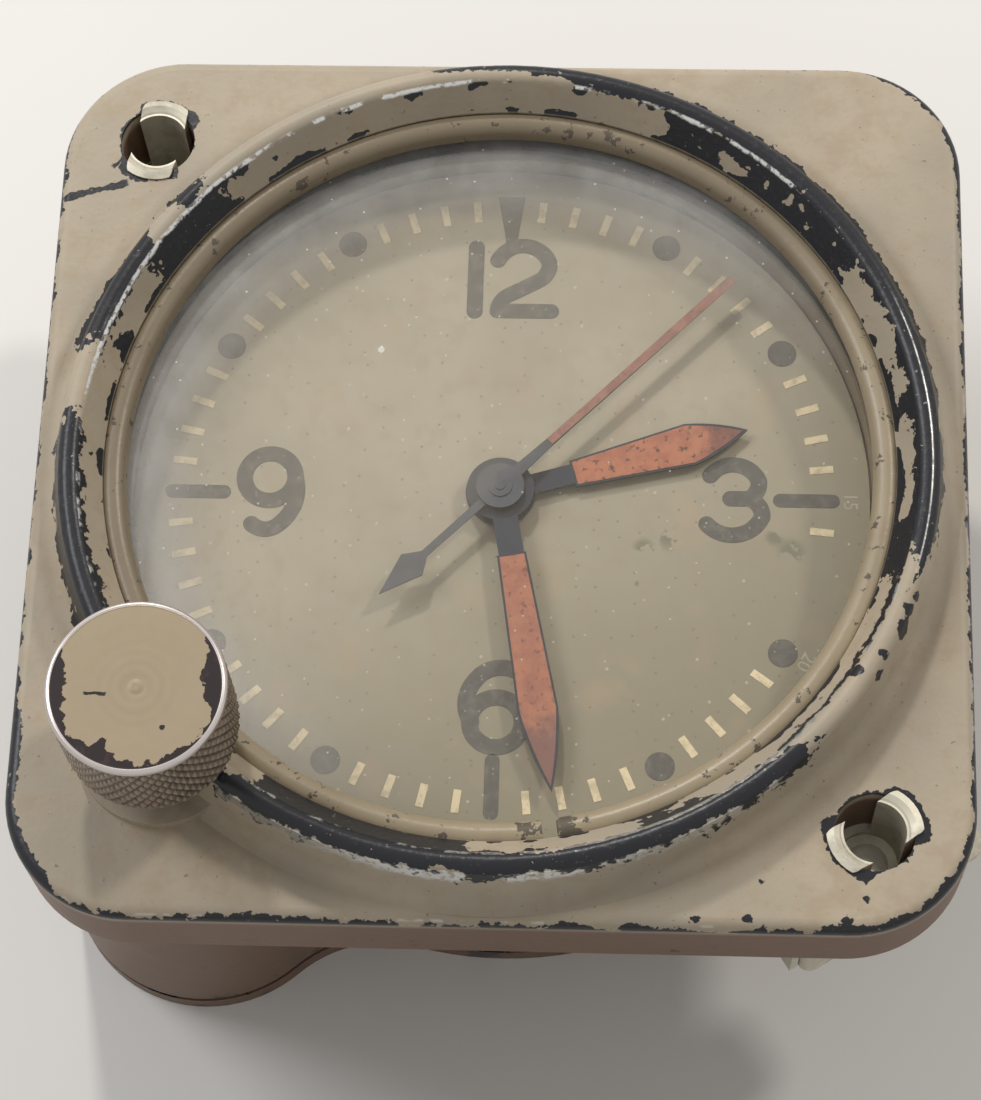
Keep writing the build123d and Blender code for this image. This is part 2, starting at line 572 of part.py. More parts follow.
def make_dial_figures():
    """The raised dark print: numerals, quarter bars and hour dots."""
    one = stroke([Line((-2.2, 13.5), (-2.2, 18.3))], FIGURE_STROKE)
    two = stroke([ThreePointArc((-0.72, 17.35), (0.95, 18.47), (2.78, 17.1)),
                  ThreePointArc((2.78, 17.1), (2.6, 16.4), (2.0, 15.8)),
                  Line((2.0, 15.8), (0.3, 14.85)),
                  ThreePointArc((0.3, 14.85), (-0.4, 14.3), (-0.65, 13.55))], FIGURE_STROKE)
    two += stroke([Line((-0.65, 13.55), (2.95, 13.55))], FIGURE_STROKE)
    three = stroke([ThreePointArc((13.72, 1.7), (15.4, 2.5), (16.9, 1.35)),
                    ThreePointArc((16.9, 1.35), (16.75, 0.6), (16.2, 0.08))], FIGURE_STROKE)
    three += stroke([Line((15.05, 0.08), (16.2, 0.08))], FIGURE_STROKE)
    three += stroke([ThreePointArc((16.2, 0.08), (16.92, -0.42), (17.1, -1.2)),
                     ThreePointArc((17.1, -1.2), (15.3, -2.5), (13.5, -1.75))], FIGURE_STROKE)
    loop = Circle(LOOP_R + FIGURE_STROKE / 2) - Circle(LOOP_R - FIGURE_STROKE / 2)
    six = on((0.15, -15.68)) * loop
    six += stroke([ThreePointArc((1.25, -12.15), (-0.15, -12.05), (-1.25, -12.85)),
                   ThreePointArc((-1.25, -12.85), (-1.82, -14.3), (-1.45, -15.7))], FIGURE_STROKE)
    nine = on((-15.3, 1.1)) * loop
    nine += stroke([ThreePointArc((-13.62, 1.1), (-13.6, -0.8), (-14.6, -2.3)),
                    ThreePointArc((-14.6, -2.3), (-15.5, -2.62), (-16.35, -2.25))], FIGURE_STROKE)
    bars = [stroke([Line(polar(BAR_INNER_R, turn), polar(BAR_OUTER_R, turn))], BAR_STROKE)
            for turn in (0, 180, 270)]
    top_bar = make_face(Polyline((-0.85, 22.2), (1.0, 22.2), (0.62, 19.4), (0.5, 18.5),
                                 (-0.2, 18.5), (-0.32, 19.4), close=True))
    dots = [on(polar(DOT_PLACE_R, turn * 30)) * Circle(DOT_R) for turn in range(12) if turn % 3]
    groups = [one, two + top_bar, three, six, nine] + bars + dots
    return Compound([between(group, DIAL_TOP, DIAL_TOP + PRINT_THICK).solid() for group in groups])


def make_minute_track():
    middle_r = (TICK_INNER_R + TICK_OUTER_R) / 2
    bar = Pos(middle_r) * Rectangle(TICK_OUTER_R - TICK_INNER_R, TICK_WIDE)
    ticks = []
    for minute in range(60):
        if minute % 5 == 0 or minute in FLAKED_MINUTES:
            continue
        tick = between(Rot(0, 0, 90 - 6 * minute) * bar, DIAL_TOP, DIAL_TOP + PRINT_THICK)
        ticks.append(tick.solid())
    return Compound(ticks)


def pointing(shape, clockwise):
    """A piece drawn towards twelve, turned to its place on the dial."""
    return Rot(0, 0, -clockwise) * shape


def blade(root_r, root_half, wide_r, wide_half, tip_r, bow):
    """Hand blade: straight flanks, then bowed edges to a point."""
    shoulder = (wide_r + tip_r) / 2
    right = ThreePointArc((wide_half, wide_r), (bow, shoulder), (0, tip_r))
    left = ThreePointArc((0, tip_r), (-bow, shoulder), (-wide_half, wide_r))
    return make_face(Curve() + [
        Line((-root_half, root_r), (root_half, root_r)),
        Line((root_half, root_r), (wide_half, wide_r)), right, left,
        Line((-wide_half, wide_r), (-root_half, root_r))])


def inner_blade(root_r, root_half, wide_r, wide_half, tip_r, bow):
    """The opening that holds the luminous paint."""
    return blade(root_r + RIM, root_half - RIM, wide_r, wide_half - RIM, tip_r - 2.5 * RIM,
                 bow - RIM)


def make_hand(level, hub_r, bore_r, shank, outline, clockwise, collar):
    sketch = blade(*outline) - inner_blade(*outline)
    sketch += Pos(0, outline[0] / 2) * Rectangle(shank, outline[0])
    sketch += Circle(hub_r)
    hand = between(sketch, *level) + disc(bore_r + 0.35, level[0] - collar, level[0])
    return pointing(hand - disc(bore_r, -20, 0), clockwise)


def make_lume(level, outline, clockwise):
    paint = between(inner_blade(*outline), level[0] - LUME_RISE, level[1] + LUME_RISE)
    return pointing(paint, clockwise)


def make_second_hand():
    back, front = SECOND_HAND_Z
    needle = make_face(Polyline((-0.42, 1.2), (0.42, 1.2), (0.3, 4.5), (0.28, 21.3), (-0.28, 21.3),
                                (-0.3, 4.5), close=True))
    tail = make_face(Polyline((-0.28, -1.2), (-0.25, -6.8), (-1.0, -7.9), (0, -10.8), (1.0, -7.9),
                              (0.25, -6.8), (0.28, -1.2), close=True))
    hand = between(needle + tail + Circle(1.57), back, front)
    hand += disc(1.57, back, front + 0.12) + disc(0.8, back, front + 0.2)
    return pointing(hand - disc(SWEEP_ARBOR_R, -20, 0), SECOND_ANGLE)


def make_second_lume():
    front = SECOND_HAND_Z[1]
    paint = make_face(Polyline((-0.25, 4.5), (0.25, 4.5), (0.33, 21.5), (-0.33, 21.5), close=True))
    return pointing(between(paint, front, front + PAINT_THICK), SECOND_ANGLE)


def make_cannon():
    """Cannon pinion: teeth below, long pipe for the minute hand."""
    cannon = gear(MOTION_MODULE, CANNON_TEETH, MINUTE_WHEEL_Z, CENTRE, CANNON_PHASE, few=True)
    cannon += disc(CANNON_TUBE_R, MINUTE_WHEEL_Z[0], MINUTE_HAND_Z[1])
    return cannon - disc(CENTRE_TUBE_R, -20, 0)


def make_hour_wheel():
    wheel = gear(MOTION_MODULE, HOUR_TEETH, HOUR_WHEEL_Z, CENTRE, HOUR_PHASE)
    wheel += disc(HOUR_PIPE_R, HOUR_WHEEL_Z[0], HOUR_HAND_Z[1])
    return wheel - disc(CANNON_TUBE_R + RUN, -20, 0)


def make_minute_wheel():
    wheel = gear(MOTION_MODULE, MINUTE_TEETH, MINUTE_WHEEL_Z, MINUTE, MINUTE_PHASE)
    wheel += gear(MOTION_MODULE, MINUTE_LEAVES, (MINUTE_WHEEL_Z[1], HOUR_WHEEL_Z[1]), MINUTE,
                  MINUTE_PINION_PHASE, few=True)
    return wheel - disc(MINUTE_STUD_R + RUN, -20, 0, MINUTE)


def make_setting_wheel():
    wheel = gear(MOTION_MODULE, SETTING_TEETH, MINUTE_WHEEL_Z, SETTING, SETTING_PHASE)
    wheel = spoked(wheel, 5.4, 2.0, 0.9, 4, MINUTE_WHEEL_Z, SETTING)
    return wheel - disc(SETTING_STUD_R + RUN, -20, 0, SETTING)


def make_motion_studs():
    foot = MAIN_FRONT - 1.2
    minute_stud = disc(MINUTE_STUD_R, foot, HOUR_WHEEL_Z[1] + 0.1, MINUTE)
    setting_stud = disc(SETTING_STUD_R, foot, MINUTE_WHEEL_Z[1] + 0.1, SETTING)
    setting_stud += disc(1.4, MINUTE_WHEEL_Z[1] + 0.1, MINUTE_WHEEL_Z[1] + 0.4, SETTING)
    return Compound([minute_stud, setting_stud])


def make_main_plate():
    plate = disc(MAIN_R, MAIN_BACK, MAIN_FRONT)
    for place in COVER_SCREWS[:3]:
        plate -= disc(COVER_BOSS_R + GAP, -20, 0, place)
    plate -= disc(MOTION_MODULE * (SETTING_LEAVES / 2 + 1) + 0.5, -20, 0, KNOB)
    plate -= disc(CENTRE_TUBE_R + RUN, -20, 0)
    for place, radius in ((MINUTE, MINUTE_STUD_R), (SETTING, SETTING_STUD_R)):
        plate -= disc(radius, MAIN_FRONT - 1.2, MAIN_FRONT, place)
    for foot in DIAL_FEET:
        plate -= disc(DIAL_FOOT_R + RUN, MAIN_BACK, MAIN_FRONT, foot)
    for place, radius in TRAIN_PIVOTS:
        plate -= disc(radius + RUN, MAIN_BACK, PIVOT_TOP + 0.1, place)
    for place in MOVEMENT_SCREWS:
        plate -= disc(SMALL_SCREW_R + 0.1, -20, 0, place)
    for place in PILLARS:
        plate -= disc(0.7, MAIN_BACK, MAIN_FRONT, place)
    for place in (PALLET_FOOT, COCK_FOOT):
        plate -= disc(SMALL_SCREW_R, MAIN_BACK, PIVOT_TOP, place)
    return plate


def make_rear_plate():
    """Rear plate: an ear carries the winding idler, a bay clears the balance."""
    sketch = Circle(REAR_R)
    sketch += Pos(IDLER.X, IDLER.Y) * Circle(2.3)
    ear = IDLER * 0.93
    sketch += Pos(ear.X, ear.Y) * Rot(0, 0, bearing(CENTRE, IDLER)) * Rectangle(5, 4.6)
    sketch -= Pos(BALANCE.X, BALANCE.Y) * Circle(7.0)
    sketch -= Pos(*polar(16, bearing(CENTRE, BALANCE))) * Circle(6.4)
    plate = between(sketch, REAR_BACK, REAR_FRONT)
    for place, radius in REAR_PIVOTS:
        plate -= disc(radius + RUN, -30, 0, place)
    for place in PILLARS:
        plate -= disc(SMALL_SCREW_R + 0.1, -30, 0, place)
    for place in (IDLER, CLICK):
        plate -= disc(WINDING_STUD_R, REAR_BACK, REAR_FRONT, place)
    return plate


def make_pillars():
    pillars = []
    for place in PILLARS:
        pillar = disc(PILLAR_R, REAR_FRONT, MAIN_BACK, place)
        pillar += disc(0.7, MAIN_BACK, MAIN_FRONT, place)
        pillars.append(pillar - disc(SMALL_SCREW_R, REAR_FRONT, REAR_FRONT + 3, place))
    return Compound(pillars)


def make_plate_screws():
    head = (REAR_BACK - 0.8, REAR_BACK)
    return Compound([slotted_screw(1.1, head, SMALL_SCREW_R, REAR_FRONT + 2.5, place)
                     for place in PILLARS])


def make_movement_screws():
    head = (MAIN_BACK - 0.8, MAIN_BACK)
    return Compound([slotted_screw(0.95, head, SMALL_SCREW_R, DIAL_BACK - 0.5, place)
                     for place in MOVEMENT_SCREWS])


def make_barrel():
    """Going barrel: a cup with its teeth round the front."""
    barrel = gear(BARREL_MODULE, BARREL_TEETH, BARREL_TEETH_Z, BARREL, BARREL_PHASE)
    barrel += disc(BARREL_R, BARREL_Z[0], BARREL_Z[1], BARREL)
    barrel -= disc(BARREL_R - BARREL_WALL, BARREL_Z[0], BARREL_Z[1] - 0.6, BARREL)
    return barrel - disc(ARBOR_R + RUN, -20, 0, BARREL)


def make_barrel_cover():
    cover = disc(BARREL_R - BARREL_WALL, BARREL_Z[0], BARREL_Z[0] + 0.4, BARREL)
    return cover - disc(ARBOR_R + RUN, -20, 0, BARREL)


def make_barrel_arbor():
    arbor = disc(ARBOR_R, WINDING_Z[0] - 0.4, PIVOT_TOP, BARREL)
    return arbor + disc(CORE_R, BARREL_Z[0] + 0.7, BARREL_Z[1] - 0.9, BARREL)


def make_ratchet():
    wheel = gear(WINDING_MODULE, RATCHET_TEETH, WINDING_Z, BARREL, RATCHET_PHASE)
    return wheel - disc(ARBOR_R, -30, 0, BARREL)


def make_idler():
    wheel = gear(WINDING_MODULE, IDLER_TEETH, WINDING_Z, IDLER, IDLER_PHASE)
    return wheel - disc(WINDING_STUD_R + RUN, -30, 0, IDLER)


def make_winding_studs():
    studs = []
    for place in (IDLER, CLICK):
        stud = disc(WINDING_STUD_R, WINDING_Z[0] - 0.1, REAR_FRONT, place)
        studs.append(stud + disc(1.3, WINDING_Z[0] - 0.5, WINDING_Z[0] - 0.1, place))
    return Compound(studs)


def make_click():
    out = (NOSE - BARREL).normalized()
    beside = Vector(-out.Y, out.X)
    sketch = Pos(CLICK.X, CLICK.Y) * Circle(1.5)
    beak = make_face(Polyline(NOSE - beside * NOSE_HALF, NOSE + beside * NOSE_HALF,
                              NOSE + out * 1.1 + beside * 1.2, CLICK - out * 0.2,
                              CLICK + out * 1.2 - beside * 0.3,
                              NOSE + out * 1.5 - beside * 0.2, close=True))
    click = between(sketch + beak, WINDING_Z[0] + 0.2, WINDING_Z[1])
    return click - disc(WINDING_STUD_R + RUN, -30, 0, CLICK)


def make_click_spring():
    """Bent blade spring that lies behind the click, screwed to the rear plate."""
    out = bearing(BARREL, CLICK)
    start, bend, foot = [polar(reach, out + turn, CLICK)
                         for reach, turn in ((2.0, -75), (3.6, -35), (6.4, -40))]
    bow = stroke([Line(start, bend), Line(bend, foot)], 0.3)
    return between(bow + on(foot) * Circle(1.0), REAR_BACK - 0.6, REAR_BACK)


def arbor_between(place, radius):
    return disc(radius, PIVOT_BOTTOM, PIVOT_TOP, place)


def make_centre_wheel():
    """Centre wheel and pinion on a hollow arbor, through which the sweep arbor runs."""
    wheel = gear(CENTRE_MODULE, CENTRE_TEETH, CENTRE_WHEEL_Z, CENTRE, CENTRE_PHASE)
    wheel = spoked(wheel, 6.6, 1.8, 0.8, 5, CENTRE_WHEEL_Z, CENTRE)
    wheel += gear(BARREL_MODULE, CENTRE_LEAVES, (BARREL_TEETH_Z[0], MAIN_BACK - GAP), CENTRE,
                  CENTRE_PHASE, few=True)
    wheel += disc(CENTRE_TUBE_R, CENTRE_WHEEL_Z[0], MINUTE_HAND_Z[1] - 0.2)
    return wheel - disc(SWEEP_ARBOR_R + RUN, -20, 0)


def make_third_wheel():
    wheel = gear(THIRD_MODULE, THIRD_TEETH, THIRD_WHEEL_Z, THIRD, THIRD_PHASE)
    wheel = spoked(wheel, 6.5, 1.6, 0.8, 4, THIRD_WHEEL_Z, THIRD)
    wheel += gear(CENTRE_MODULE, THIRD_LEAVES, THIRD_PINION_Z, THIRD, THIRD_PINION_PHASE, few=True)
    return wheel + arbor_between(THIRD, TRAIN_ARBOR_R)


def make_fourth_wheel():
    """Fourth wheel: its long arbor turns the sweep second hand."""
    wheel = gear(FOURTH_MODULE, FOURTH_TEETH, FOURTH_WHEEL_Z, CENTRE, FOURTH_PHASE)
    wheel = spoked(wheel, 6.8, 1.6, 0.7, 4, FOURTH_WHEEL_Z, CENTRE)
    wheel += gear(THIRD_MODULE, FOURTH_LEAVES, FOURTH_PINION_Z, CENTRE, FOURTH_PINION_PHASE,
                  few=True)
    return wheel + disc(SWEEP_ARBOR_R, PIVOT_BOTTOM, SECOND_HAND_Z[1] + 0.25)


def make_escape_wheel():
    """Escape wheel with raked teeth, and its pinion."""
    step = 360 / ESCAPE_TEETH
    points = []
    for tooth in range(ESCAPE_TEETH):
        middle = ESCAPE_PHASE + tooth * step
        points += [polar(ESCAPE_R - 1.0, middle - 0.38 * step), polar(ESCAPE_R, middle - 0.07 * step),
                   polar(ESCAPE_R, middle + 0.07 * step), polar(ESCAPE_R - 1.0, middle + 0.1 * step)]
    wheel = Pos(ESCAPE.X, ESCAPE.Y) * between(make_face(Polyline(*points, close=True)), *ESCAPE_Z)
    wheel = spoked(wheel, 1.9, 0.8, 0.4, 4, ESCAPE_Z, ESCAPE)
    wheel += gear(FOURTH_MODULE, ESCAPE_LEAVES, ESCAPE_PINION_Z, ESCAPE, ESCAPE_PINION_PHASE,
                  few=True)
    return wheel + arbor_between(ESCAPE, ESCAPE_ARBOR_R)


def make_pallet_lever():
    """Lever: two pallets over the escape wheel and a fork towards the balance."""
    sketch = Circle(0.42) + Pos(FORK_REACH / 2) * Rectangle(FORK_REACH, 0.5)
    sketch += Pos(FORK_REACH - 0.3) * Rectangle(0.6, 1.2)
    sketch -= Pos(FORK_REACH) * Rectangle(0.7, 0.5)
    back = (ESCAPE - LEVER).length
    for side in (1, -1):
        pallet = polar(ESCAPE_R + PALLET_CLEAR + 0.35, side * PALLET_HALF_SPAN, (-back, 0))
        sketch += Pos(pallet.X, pallet.Y) * Rot(0, 0, side * PALLET_HALF_SPAN) * Rectangle(0.7, 0.3)
        sketch += stroke([Line((0, 0), (pallet.X + 0.1, pallet.Y))], 0.45)
    lever = between(sketch, *ESCAPE_Z) + disc(LEVER_ARBOR_R, PALLET_COCK_Z[0] + 0.1, PIVOT_TOP)
    return Pos(LEVER.X, LEVER.Y) * Rot(0, 0, LEVER_DIRECTION) * lever


def make_pallet_cock():
    span = LEVER - PALLET_FOOT
    middle = (LEVER + PALLET_FOOT) * 0.5
    sketch = Pos(LEVER.X, LEVER.Y) * Circle(1.0) + Pos(PALLET_FOOT.X, PALLET_FOOT.Y) * Circle(1.1)
    sketch += Pos(middle.X, middle.Y) * Rot(0, 0, bearing(PALLET_FOOT, LEVER)) * Rectangle(
        span.length, 1.6)
    cock = between(sketch, *PALLET_COCK_Z) + disc(1.1, PALLET_COCK_Z[1], MAIN_BACK, PALLET_FOOT)
    cock += disc(SMALL_SCREW_R, MAIN_BACK, PIVOT_TOP, PALLET_FOOT)
    return cock - disc(LEVER_ARBOR_R + RUN, -20, PALLET_COCK_Z[1], LEVER)


def make_balance():
    """Two-armed balance with its staff and roller."""
    rim = Circle(BALANCE_R) - Circle(BALANCE_R - 0.8)
    arms = Rot(0, 0, 70) * Rectangle(2 * BALANCE_R - 0.8, 0.9) + Circle(1.1)
    wheel = between(rim, *BALANCE_Z) + between(arms, BALANCE_Z[0] + 0.25, BALANCE_Z[1] - 0.15)
    wheel += disc(STAFF_R, BALANCE_COCK_Z[0] + 0.3, PIVOT_TOP)
    wheel += disc(0.5, HAIRSPRING_Z[0] - 0.1, BALANCE_Z[0] + 0.3)
    wheel += disc(1.1, -11.6, -11.3) + disc(0.45, -11.7, -11.5)
    pin = polar(0.85, 180 + LEVER_DIRECTION)
    wheel += disc(ROLLER_PIN_R, -11.4, ESCAPE_Z[0] + 0.1, pin)
    return Pos(BALANCE.X, BALANCE.Y) * wheel


def make_hairspring():
    spring = spiral_strip(1.0, 0.5, 9, 0.12, HAIRSPRING_Z, (0, 0))
    stud_x = -(1.0 + 9 * 0.25)
    spring += disc(0.3, HAIRSPRING_Z[0], BALANCE_COCK_Z[1], (stud_x, 0))
    turn = bearing(CENTRE, BALANCE) + 180
    return Pos(BALANCE.X, BALANCE.Y) * Rot(0, 0, turn) * spring


def make_balance_cock():
    """Cock from its foot at the plate's edge to the upper pivot of the balance."""
    reach = COCK_FOOT.length - BALANCE.length
    sketch = Circle(1.8) + Pos(reach / 2) * Rectangle(reach, 2.6)
    sketch += Pos(reach) * Circle(1.7)
    sketch += Pos(2.6) * Circle(1.5)
    cock = between(sketch, *BALANCE_COCK_Z)
    cock -= disc(STAFF_R + RUN, -20, 0)
    cock = Pos(BALANCE.X, BALANCE.Y) * Rot(0, 0, bearing(CENTRE, BALANCE)) * cock
    cock += disc(1.6, BALANCE_COCK_Z[1], MAIN_BACK, COCK_FOOT)
    return cock - disc(SMALL_SCREW_R + 0.1, -20, 0, COCK_FOOT)


def make_cock_screw():
    head = (BALANCE_COCK_Z[0] - 0.8, BALANCE_COCK_Z[0])
    return slotted_screw(1.1, head, SMALL_SCREW_R, PIVOT_TOP, COCK_FOOT)


PIECES = {
    "case_casting": make_case(),
    "crystal": disc(GLASS_R, GLASS_SEAT + GASKET_THICK, WIRE_Z - WIRE_R),
    "crystal_gasket": disc(GLASS_R, GLASS_SEAT, GLASS_SEAT + GASKET_THICK) - disc(24.5, -10, 10),
    "retaining_ring": make_wire_ring(),
    "rear_gasket": make_rear_gasket(),
    "rear_cover": make_cover(),
    "rear_cover_screws": make_cover_screws(),
    "panel_nut_clips": at_holes(make_clip()),
    "panel_nuts": at_holes(make_nut()),
    "knob": make_knob(),
    "knob_set_screw": make_set_screw(),
    "stem_bush": make_bush(),
    "winding_stem": make_stem(),
    "winding_pinion": make_winding_pinion(),
    "setting_pinion": make_setting_pinion(),
    "detent_fork": make_fork(),
    "detent_post": disc(POST_R, *POST_Z, POST),
    "dial": make_dial(),
    "dial_figures": make_dial_figures(),
    "minute_track": make_minute_track(),
    "hour_hand": make_hand(HOUR_HAND_Z, 2.3, HOUR_PIPE_R, 1.4, HOUR_BLADE, HOUR_ANGLE, 0.3),
    "hour_hand_lume": make_lume(HOUR_HAND_Z, HOUR_BLADE, HOUR_ANGLE),
    "minute_hand": make_hand(MINUTE_HAND_Z, 2.2, CANNON_TUBE_R, 1.65, MINUTE_BLADE, MINUTE_ANGLE,
                             0.05),
    "minute_hand_lume": make_lume(MINUTE_HAND_Z, MINUTE_BLADE, MINUTE_ANGLE),
    "second_hand": make_second_hand(),
    "second_hand_lume": make_second_lume(),
    "cannon_pinion": make_cannon(),
    "hour_wheel": make_hour_wheel(),
    "minute_wheel": make_minute_wheel(),
    "setting_wheel": make_setting_wheel(),
    "motion_studs": make_motion_studs(),
    "main_plate": make_main_plate(),
    "rear_plate": make_rear_plate(),
    "plate_pillars": make_pillars(),
    "plate_screws": make_plate_screws(),
    "movement_screws": make_movement_screws(),
    "barrel": make_barrel(),
    "barrel_cover": make_barrel_cover(),
    "barrel_arbor": make_barrel_arbor(),
    "mainspring": spiral_strip(1.95, 1.1, 9, 0.3, (-13.3, -9.8), BARREL),
    "ratchet_wheel": make_ratchet(),
    "click": make_click(),
    "click_spring": make_click_spring(),
    "winding_idler": make_idler(),
    "winding_studs": make_winding_studs(),
    "centre_wheel": make_centre_wheel(),
    "third_wheel": make_third_wheel(),
    "fourth_wheel": make_fourth_wheel(),
    "escape_wheel": make_escape_wheel(),
    "pallet_lever": make_pallet_lever(),
    "pallet_cock": make_pallet_cock(),
    "balance_wheel": make_balance(),
    "hairspring": make_hairspring(),
    "balance_cock": make_balance_cock(),
    "balance_cock_screw": make_cock_screw(),
}

for name, piece in PIECES.items():
    export_step(piece, f"parts/{name}.step")
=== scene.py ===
import bpy
import math
from mathutils import Matrix, Vector


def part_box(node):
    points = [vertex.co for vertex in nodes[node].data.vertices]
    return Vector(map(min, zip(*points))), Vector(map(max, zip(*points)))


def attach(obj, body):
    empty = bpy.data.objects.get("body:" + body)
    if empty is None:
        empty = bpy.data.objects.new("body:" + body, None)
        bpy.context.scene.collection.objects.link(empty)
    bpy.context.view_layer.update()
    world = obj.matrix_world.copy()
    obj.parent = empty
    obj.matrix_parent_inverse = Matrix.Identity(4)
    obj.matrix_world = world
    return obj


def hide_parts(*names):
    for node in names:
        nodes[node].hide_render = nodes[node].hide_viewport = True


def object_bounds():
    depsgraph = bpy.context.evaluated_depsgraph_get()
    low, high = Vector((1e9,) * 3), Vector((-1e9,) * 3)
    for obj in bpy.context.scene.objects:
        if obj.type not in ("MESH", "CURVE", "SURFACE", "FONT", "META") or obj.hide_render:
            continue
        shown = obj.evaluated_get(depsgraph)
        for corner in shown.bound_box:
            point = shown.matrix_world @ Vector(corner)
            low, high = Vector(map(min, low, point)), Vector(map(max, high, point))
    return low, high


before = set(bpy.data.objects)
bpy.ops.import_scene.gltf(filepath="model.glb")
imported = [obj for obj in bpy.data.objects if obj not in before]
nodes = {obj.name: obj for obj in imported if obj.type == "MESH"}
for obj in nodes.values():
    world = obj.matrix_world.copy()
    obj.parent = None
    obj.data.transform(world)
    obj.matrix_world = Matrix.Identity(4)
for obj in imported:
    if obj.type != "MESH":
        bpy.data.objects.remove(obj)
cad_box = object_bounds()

MM = 0.001


def box_mm(name):
    low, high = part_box(name)
    return Vector(low) / MM, Vector(high) / MM


# Sizes read from the frame, in millimetres
HALF_SIDE = box_mm("case_casting")[1].x
glass_low, glass_high = box_mm("crystal")
knob_low, knob_high = box_mm("knob")
KNOB_R = (knob_high.x - knob_low.x) / 2
KNOB_X = (knob_high.x + knob_low.x) / 2
KNOB_Y = (knob_high.y + knob_low.y) / 2
KNOB_TOP = knob_high.z
DIAL_TOP = box_mm("dial")[1].z
FLOOR_GAP = 0.02 * MM
FLOOR_Z = cad_box[0][2] - FLOOR_GAP

# Places on the casting, in millimetres
BORE_R = 25.4
BEAD_R = 26.6
RING_FOOT_R = 29.7
CORNER_R = 8.0
FLANGE_THICK = 6.35
HOLE_HALF = 23.81

# The faint numerals at the dial's edge: (figures, direction in degrees)
NUMERALS = (("15", 0.0), ("20", -29.4))
NUMERAL_R = 22.85
NUMERAL_SIZE = 1.3
NUMERAL_THICK = 0.005
NUMERAL_LIFT = 0.006

# The knob's knurl: diamonds round it, their height along the axis and their depth
DIAMONDS = 46
DIAMOND_TALL = 1.25
KNURL_DEPTH = 0.24
STEPS_EACH = 8
STEPS = STEPS_EACH * DIAMONDS
LEVEL_TALL = 0.1
RIM_R = 5.16

# The set screw's hole in the knob's side: direction, height, radius and floor
SCREW_TURN = 135.0
SCREW_Z = 6.6
SCREW_HOLE_R = 0.82
SCREW_FLOOR_R = 4.7

# The pale floor, in metres, and the light as the photograph's shadows have it, with lamps as
# (name, place, size, watts, tint): one from the top, one from the right, one soft
FLOOR_REACH = 1.5
WORLD_COLOUR = (1.0, 0.985, 0.96)
WORLD_LIGHT = 0.36
WORLD_SEEN = 1.0
DIFFUSE_BOUNCES = 2
GLOSSY_BOUNCES = 3
LAMPS = (
    ("top_lamp", (-0.11, 0.42, 0.42), 0.05, 1.25, (1.0, 0.96, 0.90)),
    ("right_lamp", (0.36, 0.29, 0.45), 0.08, 1.15, (1.0, 0.95, 0.88)),
    ("left_lamp", (-0.34, 0.14, 0.36), 0.22, 1.0, (0.97, 0.98, 1.0)),
)

# The photograph's view, as a turn of the camera and the dial's place before it
VIEW_TURN = Vector((-0.3841, 0.0403, 0.025))
VIEW_PLACE = Vector((0.54, -5.19, 201.81))
VIEW_LENS = 102.52
SENSOR_WIDTH = 36
NEAR_CLIP = 0.01

# Where Blender's Mix node has its share, its two numbers and its two colours
MIX_SHARE = 0
MIX_NUMBERS = (2, 3)
MIX_COLOURS = (6, 7)


class Number:
    """A value that shader nodes work out; a sum or product with it adds a node."""

    def __init__(self, graph, socket):
        self.graph = graph
        self.socket = socket

    def __add__(self, other):
        return self.graph.math("ADD", self, other)

    def __radd__(self, other):
        return self.graph.math("ADD", other, self)

    def __sub__(self, other):
        return self.graph.math("SUBTRACT", self, other)

    def __rsub__(self, other):
        return self.graph.math("SUBTRACT", other, self)

    def __mul__(self, other):
        return self.graph.math("MULTIPLY", self, other)

    def __rmul__(self, other):
        return self.graph.math("MULTIPLY", other, self)

    def __truediv__(self, other):
        return self.graph.math("DIVIDE", self, other)


